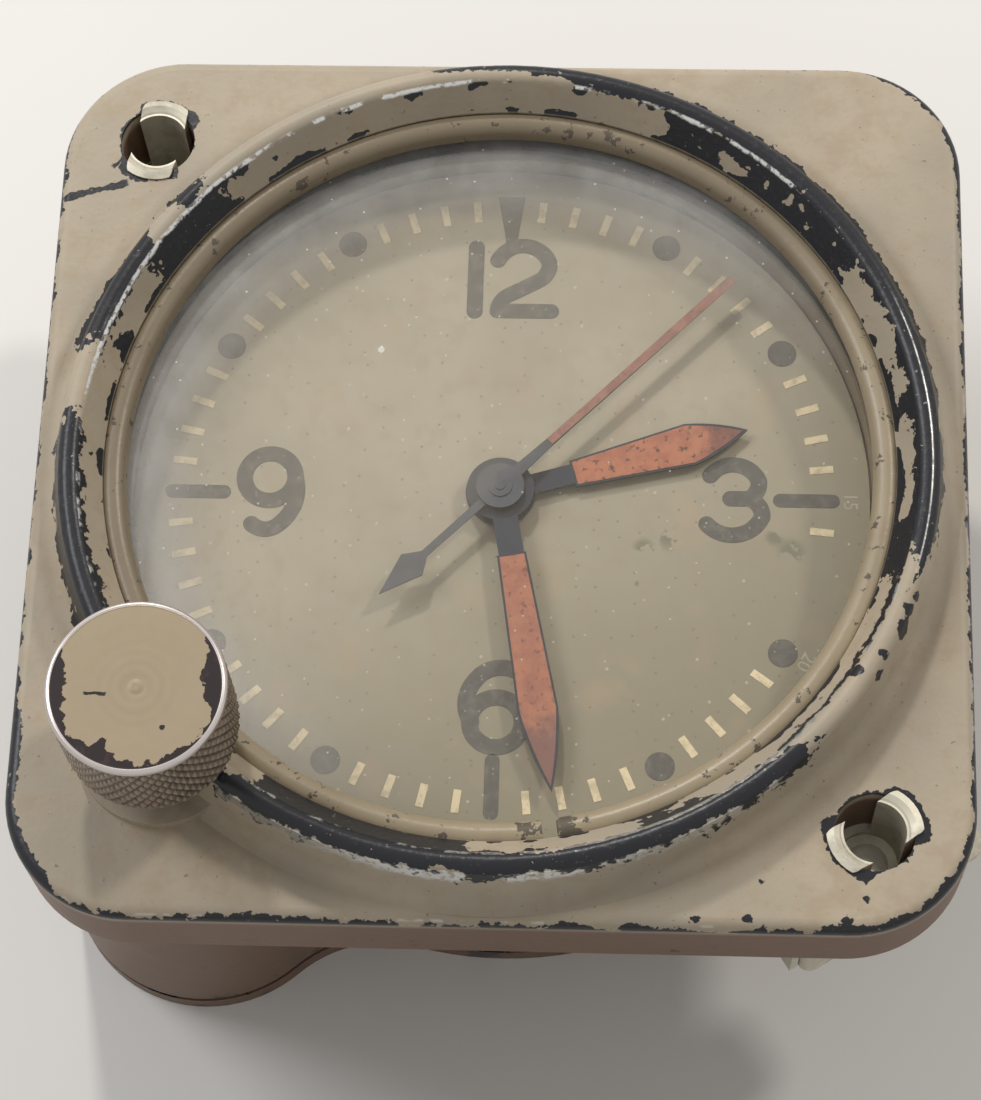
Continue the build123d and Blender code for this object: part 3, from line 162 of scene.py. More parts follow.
class Graph:
    """One node material round a Principled shader. Its lengths are millimetres."""

    def __init__(self, name, flat=False, **constants):
        self.flat = flat
        self.material = bpy.data.materials.new(name)
        self.material.use_nodes = True
        self.tree = self.material.node_tree
        self.tree.nodes.clear()
        self.shader = self.node("ShaderNodeBsdfPrincipled")
        output = self.node("ShaderNodeOutputMaterial")
        self.tree.links.new(self.shader.outputs["BSDF"], output.inputs["Surface"])
        for socket, value in constants.items():
            self.set(socket.replace("_", " ").title().replace("Ior", "IOR"), value)
        scale = self.node("ShaderNodeVectorMath")
        scale.operation = "SCALE"
        scale.inputs["Scale"].default_value = 1 / MM
        self.tree.links.new(self.node("ShaderNodeTexCoord").outputs["Object"], scale.inputs[0])
        self.place = scale.outputs["Vector"]
        split = self.node("ShaderNodeSeparateXYZ")
        self.tree.links.new(self.place, split.inputs[0])
        self.x, self.y, self.z = (Number(self, out) for out in split.outputs)

    def node(self, kind):
        return self.tree.nodes.new(kind)

    def feed(self, socket, value):
        if isinstance(value, Number):
            self.tree.links.new(value.socket, socket)
        elif isinstance(value, bpy.types.NodeSocket):
            self.tree.links.new(value, socket)
        elif isinstance(value, tuple) and len(value) == 3 and socket.type == "RGBA":
            socket.default_value = (*value, 1)
        else:
            socket.default_value = value

    def set(self, name, value):
        self.feed(self.shader.inputs[name], value)

    def math(self, operation, *values):
        node = self.node("ShaderNodeMath")
        node.operation = operation
        for socket, value in zip(node.inputs, values):
            self.feed(socket, value)
        return Number(self, node.outputs[0])

    def clamp(self, value):
        node = self.node("ShaderNodeClamp")
        self.feed(node.inputs["Value"], value)
        return Number(self, node.outputs[0])

    def step(self, value, low, high):
        """0 below low, 1 above high, smooth between; high may be the smaller one."""
        node = self.node("ShaderNodeMapRange")
        node.interpolation_type = "SMOOTHSTEP"
        for socket, item in (("Value", value), ("From Min", low), ("From Max", high)):
            self.feed(node.inputs[socket], item)
        return Number(self, node.outputs[0])

    def shifted(self, shift, stretch=(1, 1, 1)):
        node = self.node("ShaderNodeMapping")
        self.tree.links.new(self.place, node.inputs["Vector"])
        node.inputs["Location"].default_value = shift
        node.inputs["Scale"].default_value = stretch
        return node.outputs["Vector"]

    def noise(self, size, detail=4.0, roughness=0.5, shift=0.0, stretch=(1, 1, 1)):
        """Cloudy noise from 0 to 1; size is the width of its blobs."""
        node = self.node("ShaderNodeTexNoise")
        self.tree.links.new(self.shifted((shift, shift * 0.7, shift * 1.3), stretch),
                            node.inputs["Vector"])
        node.noise_dimensions = "2D" if self.flat else "3D"
        node.inputs["Scale"].default_value = 1 / size
        node.inputs["Detail"].default_value = detail
        node.inputs["Roughness"].default_value = roughness
        return Number(self, node.outputs[0])

    def specks(self, spacing, radius, shift=0.0, keep=0.5):
        """Small scattered dots: 1 inside, 0 outside; keep is the share of places with one."""
        node = self.node("ShaderNodeTexVoronoi")
        node.voronoi_dimensions = "2D" if self.flat else "3D"
        self.tree.links.new(self.shifted((shift, shift, shift)), node.inputs["Vector"])
        node.inputs["Scale"].default_value = 1 / spacing
        chance = self.node("ShaderNodeSeparateXYZ")
        self.tree.links.new(node.outputs["Color"], chance.inputs[0])
        kept = self.step(Number(self, chance.outputs[0]), keep, keep * 0.8)
        distance = Number(self, node.outputs["Distance"])
        return kept * self.step(distance, radius / spacing, 0.6 * radius / spacing)

    def colour(self, share, first, second):
        """Mixes two colours, from first at 0 to second at 1."""
        node = self.node("ShaderNodeMix")
        node.data_type = "RGBA"
        self.feed(node.inputs[MIX_SHARE], share)
        for place, tone in zip(MIX_COLOURS, (first, second)):
            self.feed(node.inputs[place], tone)
        return node.outputs[2]

    def blend(self, share, first, second):
        """Mixes two numbers."""
        node = self.node("ShaderNodeMix")
        self.feed(node.inputs[MIX_SHARE], share)
        for place, value in zip(MIX_NUMBERS, (first, second)):
            self.feed(node.inputs[place], value)
        return Number(self, node.outputs[0])

    def radius(self, x=0.0, y=0.0):
        across, up = self.x - x, self.y - y
        return self.math("SQRT", across * across + up * up)

    def bearing(self, x=0.0, y=0.0):
        """Direction from an axis, in degrees from three o'clock, -180 to 180."""
        return self.math("ARCTAN2", self.y - y, self.x - x) * (180 / math.pi)

    def around(self, *points, x=0.0, y=0.0, wander=0.0):
        """A number that runs straight from one (bearing, value) to the next round an axis.

        wander is added to the bearing, in degrees, to make the ends ragged."""
        low, high = min(value for _, value in points), max(value for _, value in points)
        node = self.node("ShaderNodeFloatCurve")
        self.feed(node.inputs["Value"], (self.bearing(x, y) + wander) / 360 + 0.5)
        curve = node.mapping.curves[0]
        while len(curve.points) < len(points):
            curve.points.new(0.5, 0.5)
        for point, (bearing, value) in zip(curve.points, points):
            point.location = (bearing / 360 + 0.5, (value - low) / (high - low))
            point.handle_type = "VECTOR"
        node.mapping.update()
        return Number(self, node.outputs["Value"]) * (high - low) + low

    def band(self, value, low, high, soft):
        """1 between two limits, 0 outside."""
        return self.step(value, low - soft, low + soft) * self.step(value, high + soft, high - soft)

    def sector(self, towards, half, soft=15.0):
        """1 within half degrees of a direction, fading to 0 over soft degrees."""
        turn = self.bearing() - towards
        away = self.math("ABSOLUTE", self.math("WRAP", turn, 180.0, -180.0))
        return self.step(away, half + soft, half)

    def bump(self, height, depth, strength=1.0):
        """Relief: depth is how many millimetres a height of 1 stands up."""
        node = self.node("ShaderNodeBump")
        node.inputs["Strength"].default_value = strength
        node.inputs["Distance"].default_value = depth * MM
        self.feed(node.inputs["Height"], height)
        return node.outputs["Normal"]


# Colours of the casting
BEIGE = (0.45, 0.38, 0.285)
BEIGE_WARM = (0.37, 0.285, 0.195)
BEIGE_GREY = (0.365, 0.32, 0.25)
SIDE_BROWN = (0.18, 0.105, 0.07)
PRIMER = (0.012, 0.013, 0.017)
# The colour of bare metal, also used for the painted highlight line on the ring
BARE_AND_HIGHLIGHT = (0.56, 0.56, 0.55)
# Dirt colour, also used for painted shade at the ring's foot, on its inner slope and on the wire's
# upper left
GRIME_AND_SHADE = (0.10, 0.075, 0.05)
WELL = (0.27, 0.225, 0.15)
PRIMER_DUST = (0.33, 0.32, 0.29)

# Round the ring, as (bearing, radius): where the black begins and where it ends
BLACK_FROM = (
    (-180, 26.5), (-158, 26.4), (-127, 27.2), (-121, 26.6), (-119.5, 24.6), (-94.5, 24.6),
    (-93, 26.5), (-76, 26.8), (-74, 26.6), (-46, 26.7), (-43, 27.9), (-19, 27.8), (-14, 26.8),
    (-8, 26.4), (66, 26.6), (78, 26.8), (90, 27.3), (101, 27.6), (104, 29.2), (134, 29.2),
    (136.5, 26.6), (141.5, 26.6), (142.5, 29.2), (146, 29.2), (147.5, 26.6), (164.5, 26.6),
    (166, 29.2), (174, 29.2), (176.5, 27.0), (180, 26.5))
BLACK_TO = (
    (-180, 28.6), (-158, 28.7), (-127, 28.1), (-95, 28.0), (-46, 28.15), (-43, 27.6),
    (-19, 27.6), (-14, 28.1), (-1, 28.4), (6, 28.1), (10, 28.6), (27, 29.0), (40, 29.4),
    (55, 29.75), (76, 29.75), (78, 28.3), (101, 28.1), (104, 27.0), (134, 27.0), (137, 29.6),
    (141, 29.6), (142.5, 27.0), (146, 27.0), (148, 29.4), (164, 29.4), (166.5, 27.0),
    (174, 27.0), (177, 28.7), (180, 28.6))

# How far the inner slope has lost its paint, as (bearing, share)
SLOPE_LOSS = (
    (-180, 0.0), (-124, -0.1), (-119, 0.5), (-95, 0.5), (-93, -0.02), (-71, 0.0), (-68.5, 0.3),
    (-62.5, 0.3), (-60, -0.01), (-19, 0.0), (-16, 0.3), (-3, 0.17), (10, 0.1), (14, 0.3),
    (17, -0.02), (29, 0.0), (32, 0.25), (55, 0.22), (64, 0.3), (67, -0.04), (118, 0.0),
    (134, 0.04), (136.5, 0.4), (149.5, 0.4), (152, 0.0), (180, 0.0))

# How wide the black rim along the flange's edge is, as (bearing, millimetres)
EDGE_LOSS = (
    (-180, 0.12), (-155, 0.12), (-148, 0.75), (-138, 0.8), (-132, 0.3), (-115, 0.22),
    (-98, 0.1), (-80, 0.16), (-62, 0.06), (-54, 0.4), (-42, 0.42), (-34, 0.3), (-25, 0.15),
    (-12, 0.25), (10, 0.2), (30, 0.15), (40, 0.55), (50, 0.4), (58, 0.02), (130, 0.0),
    (142, 0.2), (180, 0.12))

# How far from a mounting hole's middle the paint is gone, as (bearing, millimetres)
LIP_LOSS_LEFT = (
    (-180, 2.5), (-150, 2.6), (-140, 3.3), (-62, 3.3), (-50, 2.45), (20, 2.5), (30, 3.15),
    (115, 3.15), (125, 2.45), (180, 2.5))
LIP_LOSS_RIGHT = (
    (-180, 3.3), (-100, 3.3), (-88, 2.5), (-20, 2.45), (-8, 3.3), (65, 3.3), (80, 2.5),
    (155, 2.55), (168, 3.3), (180, 3.3))

# Lone chips on the face and the ring, as (x, y, z, radius)
SPOTS = (
    (16.8, -27.1, 0, 0.22), (23.2, -28.05, 0, 0.24), (22.0, -28.1, 0, 0.16),
    (12.9, -29.6, 0, 0.4), (15.9, -29.5, 0, 0.34), (22.1, -29.4, 0, 0.3),
    (26.1, -9.4, 3.2, 0.55), (25.7, -10.4, 3.2, 0.5), (25.4, -11.6, 3.0, 0.7),
    (23.75, -14.7, 3.0, 0.5), (24.0, -13.5, 3.3, 0.5), (22.5, -14.6, 3.5, 0.45))

# How readily the ring's crest and foot show bare metal, as (bearing, share)
CREST_BARE = (
    (-180, 0.0), (-127, 0.0), (-90, 0.0), (-74, 0.14), (-48, 0.14), (-40, 0.0), (38, -0.1),
    (46, 0.1), (66, 0.1), (72, -0.05), (94, 0.0), (98, 0.16), (120, 0.06), (130, 0.16),
    (166, 0.14), (180, 0.0))
FOOT_BARE = (
    (-180, -0.3), (-127, -0.1), (-125, 0.4), (-100, 0.25), (-90, 0.06), (-50, 0.04),
    (-42, -0.3), (180, -0.3))

# Scratches down to the primer on the flange, as (start, end, half width)
SCRATCHES = (
    ((-29.9, 19.35), (-25.6, 20.6), 0.26),
    ((-26.75, 21.8), (-25.9, 22.6), 0.2))

# Scuffs on the dial, as (x, y, radius)
SCUFFS = (
    (11.1, -2.7, 1.2), (9.4, -3.5, 0.9), (8.9, -5.9, 0.45), (19.0, -3.6, 1.2), (17.9, -2.6, 0.8),
    (2.7, -2.8, 0.35))

# Where the wire ring has lost its paint, as (bearing, share)
WIRE_LOSS = ((-180, 0.0), (-88, 0.0), (-85, 0.12), (-78, 0.2), (-76, 0.0), (180, 0.0))

# How far the paint reaches on the knob's face, as (bearing, radius)
KNOB_PAINT = (
    (-180, 4.25), (-165, 4.4), (-153, 4.55), (-142, 4.9), (-133, 4.6), (-124, 4.5), (-119, 3.6),
    (-114, 3.45), (-112, 4.2), (-104, 4.5), (-86, 4.85), (-68, 4.8), (-58, 4.65), (-36, 4.95),
    (-17, 4.95), (-12, 4.4), (-6, 3.95), (8, 3.95), (19, 4.2), (33, 4.9), (45, 5.6), (148, 5.6),
    (156, 5.0), (165, 4.5), (180, 4.25))

# Two lone chips on the knob's face, and the white fleck on the glass, as (x, y)
LONG_CHIP = (-22.9, -19.7)
ROUND_CHIP = (-18.74, -21.8)
FLECK = (-8.0, 8.55)


def edge_distance(g):
    """Distance inward from the flange's rounded square outline."""
    inner = HALF_SIDE - CORNER_R
    over_x = g.math("MAXIMUM", g.math("ABSOLUTE", g.x) - inner, 0.0)
    over_y = g.math("MAXIMUM", g.math("ABSOLUTE", g.y) - inner, 0.0)
    corner = g.math("SQRT", over_x * over_x + over_y * over_y)
    return CORNER_R - corner


def knocked_line(g, start, end, width, jag):
    """A scratch down to the primer between two points of the flange's face."""
    start, end = Vector(start), Vector(end)
    line = (end - start).normalized()
    along = (g.x - start.x) * line.x + (g.y - start.y) * line.y
    across = g.math("ABSOLUTE", (g.y - start.y) * line.x - (g.x - start.x) * line.y)
    return g.step(across + jag * 0.35, width, width * 0.8) * g.band(
        along, 0.0, (end - start).length, 0.1)


def painted_case():
    """Beige paint over black primer over bright metal, chipped along every edge, with painted shade
    at the ring's foot and on its inner slope, and a painted highlight line along the ring's bead at
    three o'clock.
    """
    g = Graph("chipped_beige_paint", specular_ior_level=0.3)
    ragged = g.noise(1.7, 3, 0.64, 3.0)
    patch = g.noise(2.6, 2, 0.55, 41.0)
    fine = g.noise(0.42, 2, 0.6, 9.0)
    jag = (ragged - 0.5) * 2.0 + (fine - 0.5) * 0.8
    r = g.radius()
    face = g.step(g.z, -0.5, -0.1)

    worn = r + jag * 0.85
    stray = jag * 5.0
    bead = g.step(worn - g.around(*BLACK_FROM, wander=stray), -0.02, 0.02) * g.step(
        worn - g.around(*BLACK_TO, wander=stray), 0.02, -0.02) * g.step(r, BORE_R, BORE_R + 0.1)
    ends = g.step(r, 26.15, 26.6) * 0.09 + g.step(r, 25.8, 25.5) * 0.16
    slope = g.band(r, BORE_R, BEAD_R + 0.1, 0.04) * g.step(
        patch + (fine - 0.5) * 0.16 + ends + g.around(*SLOPE_LOSS, wander=stray), 0.64, 0.65)
    edge = edge_distance(g)
    rim = g.step(edge + jag * 0.7 - g.around(*EDGE_LOSS), 0.03, -0.03) * g.step(g.z, -1.1, -0.7)
    chip = g.math("MAXIMUM", (bead + slope) * face, rim)
    line = g.band(r + jag * 0.5, 26.3, 26.6, 0.03) * g.sector(-32, 13, 3)
    chip = g.math("MAXIMUM", chip, line * face)
    for side, worn_round in ((-1, LIP_LOSS_LEFT), (1, LIP_LOSS_RIGHT)):
        x, y = side * HOLE_HALF, -side * HOLE_HALF
        limit = g.around(*worn_round, x=x, y=y)
        lip = g.step(g.radius(x, y) + jag * 0.6 - limit, 0.03, -0.03) * face
        chip = g.math("MAXIMUM", chip, lip)
    marks = 0.0
    for start, end, half in SCRATCHES:
        marks = marks + knocked_line(g, start, end, half, jag)
    for x, y, z, size in SPOTS:
        flat, drop = g.radius(x, y), g.z - z
        away = g.math("SQRT", flat * flat + drop * drop)
        marks = marks + g.step(away + jag * 0.6, size, size - 0.06)
    chip = g.clamp(g.math("MAXIMUM", chip, marks * face))
    behind = g.step(g.z, -FLANGE_THICK + 0.1, -FLANGE_THICK - 0.1)
    chip = g.math("MAXIMUM", chip, g.step(ragged + g.step(g.z, -24.0, -25.8) * 0.12, 0.69, 0.7)
                  * g.step(g.z, -3.0, -3.4))

    broken = patch * 0.4 + ragged * 0.6
    crest = g.band(r + jag * 0.12, 26.62, 26.82, 0.05) * g.step(
        broken + g.around(*CREST_BARE), 0.52, 0.58)
    foot = g.band(r + jag * 0.2, 28.0, 28.22, 0.05) * g.step(
        broken + g.around(*FOOT_BARE), 0.52, 0.58)
    nick = g.step(edge, 0.35, 0.12) * g.step(g.z, -0.5, -0.2) * g.step(
        broken + g.sector(-20, 16, 5) * 0.1 + g.sector(115, 20, 8) * 0.1, 0.57, 0.62)
    # Painted highlight: a thin bright line along the ring's bead at three o'clock, standing in for
    # the lamps' reflection
    painted_glint = g.band(r, 27.42, 27.52, 0.02) * g.sector(3, 17, 5) * g.step(broken, 0.36, 0.5)
    spotty = 0.25 + g.step(fine, 0.38, 0.5) * 0.75
    # Bare metal at the crest, the foot and the flange's nicks, plus the painted highlight line
    bare_and_highlight = g.clamp(((crest + foot) * spotty + nick + painted_glint * 0.5) * face)

    cloud = g.noise(11, 2, 0.6, 60.0)
    tone = g.colour(g.step(cloud, 0.3, 0.7), BEIGE_GREY, BEIGE)
    tone = g.colour(g.step(ragged + cloud * 0.4, 0.62, 0.95) * 0.55, tone, BEIGE_WARM)
    # Painted shade: a darker line where the ring's foot meets the flange
    foot_shade = g.band(r, RING_FOOT_R - 0.5, RING_FOOT_R + 0.4, 0.5) * 0.22
    low = g.step(g.z, -0.7, -1.6)
    # Painted shade at the ring's foot and, faintly, on the ring's inner slope; the flange's side
    # mottled darker and darker behind the flange; dark specks of dirt
    grime_and_shade = foot_shade + g.band(r, BORE_R, BEAD_R, 0.2) * 0.06 + low * ragged * 0.35
    grime_and_shade = grime_and_shade + behind * 0.2 + g.step(fine, 0.7, 0.74) * 0.5
    paint = g.colour(low, tone, SIDE_BROWN)
    paint = g.colour(g.clamp(grime_and_shade), paint, GRIME_AND_SHADE)
    well = g.step(r, BORE_R + 0.08, BORE_R - 0.1) * g.band(g.z, -FLANGE_THICK + 0.4, -0.4, 0.2)
    paint = g.colour(well * 0.7, paint, WELL)
    dots = g.step(fine, 0.29, 0.26) * 0.8
    black = g.colour(g.step(fine, 0.62, 0.8) * 0.14 + dots, PRIMER, PRIMER_DUST)
    base = g.colour(chip, paint, black)
    g.set("Base Color", g.colour(bare_and_highlight, base, BARE_AND_HIGHLIGHT))
    g.set("Metallic", bare_and_highlight * 0.9)
    rough = g.blend(chip, 0.40 + cloud * 0.15, 0.22 + fine * 0.2)
    g.set("Roughness", g.blend(bare_and_highlight, rough, 0.28))
    g.set("Normal", g.bump(ragged * 0.5 + fine * 0.3, 0.07, 0.8))
    return g.material


def metal(name, colour, roughness, dirt=0.3, dark=(0.03, 0.025, 0.02), grain=0.4, metallic=1.0):
    """Handled metal with stains and fine marks."""
    g = Graph(name, metallic=metallic)
    stain = g.step(g.noise(1.6, 4, 0.65, 4.0), 0.42, 0.72) * dirt
    g.set("Base Color", g.colour(g.clamp(stain), colour, dark))
    grainy = g.noise(grain, 3, 0.6, 8.0)
    g.set("Roughness", roughness + grainy * 0.25)
    g.set("Normal", g.bump(grainy, 0.01, 0.5))
    return g.material


def brass():
    g = Graph("brushed_brass", metallic=1.0)
    streak = g.noise(0.35, 3, 0.5, 1.0, (0.08, 1, 1))
    tone = g.colour(g.noise(4, 3, 0.6, 6.0), (0.62, 0.44, 0.19), (0.50, 0.36, 0.17))
    g.set("Base Color", g.colour(g.step(g.noise(2, 4, 0.7, 3.0), 0.58, 0.8) * 0.5, tone,
                                 (0.2, 0.13, 0.06)))
    g.set("Roughness", 0.26 + streak * 0.2)
    g.set("Normal", g.bump(streak, 0.004, 0.6))
    return g.material


def rubber():
    g = Graph("gasket_rubber", roughness=0.75)
    g.set("Base Color", g.colour(g.noise(1.5, 4, 0.6), (0.018, 0.017, 0.016), (0.05, 0.046, 0.04)))
    g.set("Normal", g.bump(g.noise(0.4, 3, 0.5), 0.02, 0.5))
    return g.material


def dial_paint():
    """Aged cream enamel: clouded, browner at the rim, with painted shade towards the lower right,
    flecked and scuffed near three.
    """
    g = Graph("aged_dial_paint", flat=True)
    r = g.radius()
    tone = g.colour(g.step(g.noise(12, 3, 0.55, 2.0), 0.3, 0.7), (0.365, 0.325, 0.237),
                    (0.42, 0.373, 0.277))
    # Painted shade: the dial darker towards the lower right
    painted_shade_lower = g.step(g.y - g.x * 0.5, 6.0, -22.0)
    tone = g.colour(painted_shade_lower, tone, (0.265, 0.235, 0.16))
    tone = g.colour(g.step(r, 20.5, 24.5) * 0.5, tone, (0.27, 0.235, 0.15))
    mottle = g.noise(1.9, 3, 0.68, 14.0)
    tone = g.colour(g.step(mottle, 0.45, 0.75) * 0.3, tone, (0.30, 0.25, 0.16))
    rust = g.step(g.noise(4.5, 3, 0.6, 31.0), 0.58, 0.75) * 0.3
    tone = g.colour(rust, tone, (0.44, 0.31, 0.19))
    flecks = g.specks(1.3, 0.1, 3.0, 0.4) * 0.55
    tone = g.colour(flecks, tone, (0.13, 0.11, 0.07))
    tone = g.colour(g.specks(2.9, 0.13, 19.0, 0.35) * 0.4, tone, (0.70, 0.64, 0.5))
    scuff = 0.0
    for x, y, size in SCUFFS:
        scuff = scuff + g.step(g.radius(x, y), size, size * 0.3)
    scratch = g.step(mottle, 0.52, 0.58) * g.clamp(scuff)
    g.set("Base Color", g.colour(scratch * 0.62, tone, (0.10, 0.11, 0.07)))
    g.set("Roughness", 0.55 + mottle * 0.15)
    return g.material


def print_ink(name, colour, faded, wear):
    """Printed paint on the dial, thin in places."""
    g = Graph(name, flat=True, roughness=0.6)
    worn = g.noise(0.9, 5, 0.68, 11.0)
    tone = g.colour(g.step(worn, 0.42, 0.72) * wear, colour, faded)
    tone = g.colour(g.specks(0.9, 0.08, 2.0, 0.4) * 0.6, tone, (0.35, 0.32, 0.26))
    g.set("Base Color", tone)
    g.set("Normal", g.bump(worn, 0.02, 0.6))
    return g.material


def lume(name, fresh, old, spots, rim, tip=None):
    """Old luminous paint: crusted, spotted dark, with a paler rim; tip is (radius, darkness)."""
    g = Graph(name, flat=True, roughness=0.72)
    crust = g.noise(1.3, 5, 0.66, 2.0)
    tone = g.colour(g.step(crust, 0.35, 0.68), fresh, old)
    tone = g.colour(g.step(g.noise(0.5, 3, 0.6, 15.0), 0.60, 0.67) * spots, tone,
                    (0.05, 0.03, 0.028))
    if tip:
        far = g.step(g.radius() + (crust - 0.5) * 5, tip[0], tip[0] + 2.5)
        tone = g.colour(far * tip[1], tone, rim)
    g.set("Base Color", tone)
    g.set("Normal", g.bump(crust, 0.05, 0.8))
    return g.material


def old_glass():
    """Clear glass under a film of dust, thicker and blue-grey towards its upper left edge."""
    g = Graph("dusty_glass", flat=True, roughness=0.25, ior=1.5)
    r = g.radius()
    side = g.sector(140, 75, 60)
    cloud = g.noise(3.5, 3, 0.66, 2.0)
    edge = g.step(r, 17.5, 24.5)
    film = 0.045 + cloud * 0.05 + side * (0.075 + edge * (0.04 + cloud * 0.38))
    rim = g.step(r, 23.3, 24.7) * (0.1 + cloud * 0.45) * (0.12 + side * 0.6)
    upper = g.step(g.z, glass_low.z + 0.3, glass_high.z - 0.3)
    dust = g.specks(1.9, 0.09, 12.0, 0.45) * 0.48
    spot = g.step(g.radius(*FLECK), 0.32, 0.15) * 0.7
    dust = (dust + spot) * upper
    tone = g.colour(edge * side, (0.44, 0.40, 0.33), (0.56, 0.565, 0.56))
    tone = g.colour(g.clamp(rim), tone, (0.20, 0.165, 0.11))
    tone = g.colour(g.clamp(dust), tone, (0.78, 0.76, 0.72))
    g.set("Base Color", tone)
    g.set("Alpha", g.clamp(film + rim * 0.7 + dust))
    return g.material


def wire_paint():
    g = Graph("painted_wire", specular_ior_level=0.4)
    flake = g.noise(1.1, 4, 0.7, 7.0)
    worn = g.step(flake + g.around(*WIRE_LOSS), 0.61, 0.64)
    tone = g.colour(g.noise(4, 3, 0.6, 3.0), (0.27, 0.215, 0.14), (0.36, 0.30, 0.205))
    # Painted shade: the wire's upper left half darker
    tone = g.colour(g.sector(125, 75, 35) * 0.5, tone, GRIME_AND_SHADE)
    g.set("Base Color", g.colour(worn * 0.85, tone, (0.05, 0.04, 0.03)))
    g.set("Roughness", 0.34 + worn * 0.2)
    g.set("Normal", g.bump(flake, 0.04, 0.7))
    return g.material


def knob_metal():
    """Nickelled knob: dirt in its knurl, beige paint on its face, worn off round the rim."""
    g = Graph("worn_knob", specular_ior_level=0.25)
    ragged = g.noise(0.8, 4, 0.62, 3.0)
    jag = (ragged - 0.5) * 1.5
    r = g.radius(KNOB_X, KNOB_Y)
    limit = g.around(*KNOB_PAINT, x=KNOB_X, y=KNOB_Y)
    top = g.step(g.z, KNOB_TOP - 0.25, KNOB_TOP - 0.2)
    loss = g.step(r + jag - limit, -0.02, 0.02)
    long_x, long_y = LONG_CHIP
    long_chip = g.step(g.radius(long_x, long_y), 0.75, 0.6) * g.step(
        g.math("ABSOLUTE", g.y - (long_y - 0.05) + jag * 0.3), 0.12, 0.08)
    loss = g.clamp(loss + long_chip + g.step(g.radius(*ROUND_CHIP) + jag * 0.3, 0.2, 0.15))
    painted = top * g.step(r, RIM_R, RIM_R - 0.05)
    rings = g.math("SINE", r * 9.0) * 0.5 + 0.5
    turned = rings * g.step(r, 3.6, 0.6)
    tone = g.colour(turned * 0.28 + ragged * 0.45, (0.385, 0.315, 0.215), (0.31, 0.245, 0.16))
    tone = g.colour(loss, tone, g.colour(g.step(ragged, 0.55, 0.75), (0.018, 0.011, 0.012),
                                         (0.05, 0.028, 0.028)))
    hollow = g.step(r, KNOB_R - 0.06, KNOB_R - 0.26) * (1.0 - top)
    dirt = g.clamp(hollow * 0.9 + g.step(ragged, 0.5, 0.7) * 0.3)
    steel = g.colour(dirt, (0.28, 0.225, 0.175), (0.03, 0.02, 0.014))
    bright = g.step(g.z, KNOB_TOP - 0.5, KNOB_TOP - 0.25)
    steel = g.colour(bright, steel, (0.50, 0.455, 0.44))
    g.set("Base Color", g.colour(painted, steel, tone))
    g.set("Metallic", (1.0 - painted) * (0.8 - dirt * 0.5))
    g.set("Roughness", g.blend(painted, g.blend(bright, 0.38, 0.3), 0.42))
    g.set("Normal", g.bump(turned * 0.12 + (1.0 - loss) * painted, 0.04, 1.0))
    return g.material


def turned_mesh(name, ring_points, around):
    """A closed shape from rings of points, each given as a list round the axis."""
    points = [point for ring in ring_points for point in ring]
    faces = []
    for level in range(len(ring_points) - 1):
        for step in range(around):
            first = level * around + step
            second = level * around + (step + 1) % around
            faces.append((first, second, second + around, first + around))
    for level in (0, len(ring_points) - 1):
        centre = len(points)
        ring = ring_points[level]
        points.append(sum((Vector(point) for point in ring), Vector()) / around)
        for step in range(around):
            pair = (level * around + step, level * around + (step + 1) % around)
            faces.append((*(pair if level else pair[::-1]), centre))
    mesh = bpy.data.meshes.new(name)
    mesh.from_pydata([tuple(point) for point in points], [], faces)
    return mesh


def knurl_height(turn, level):
    """0 in the grooves to 1 on the diamonds' points; turn and level in diamonds."""
    height = 1.0
    for phase in (turn + level, turn - level):
        height = min(height, 1.25 * abs(2 * (phase % 1.0) - 1))
    return height


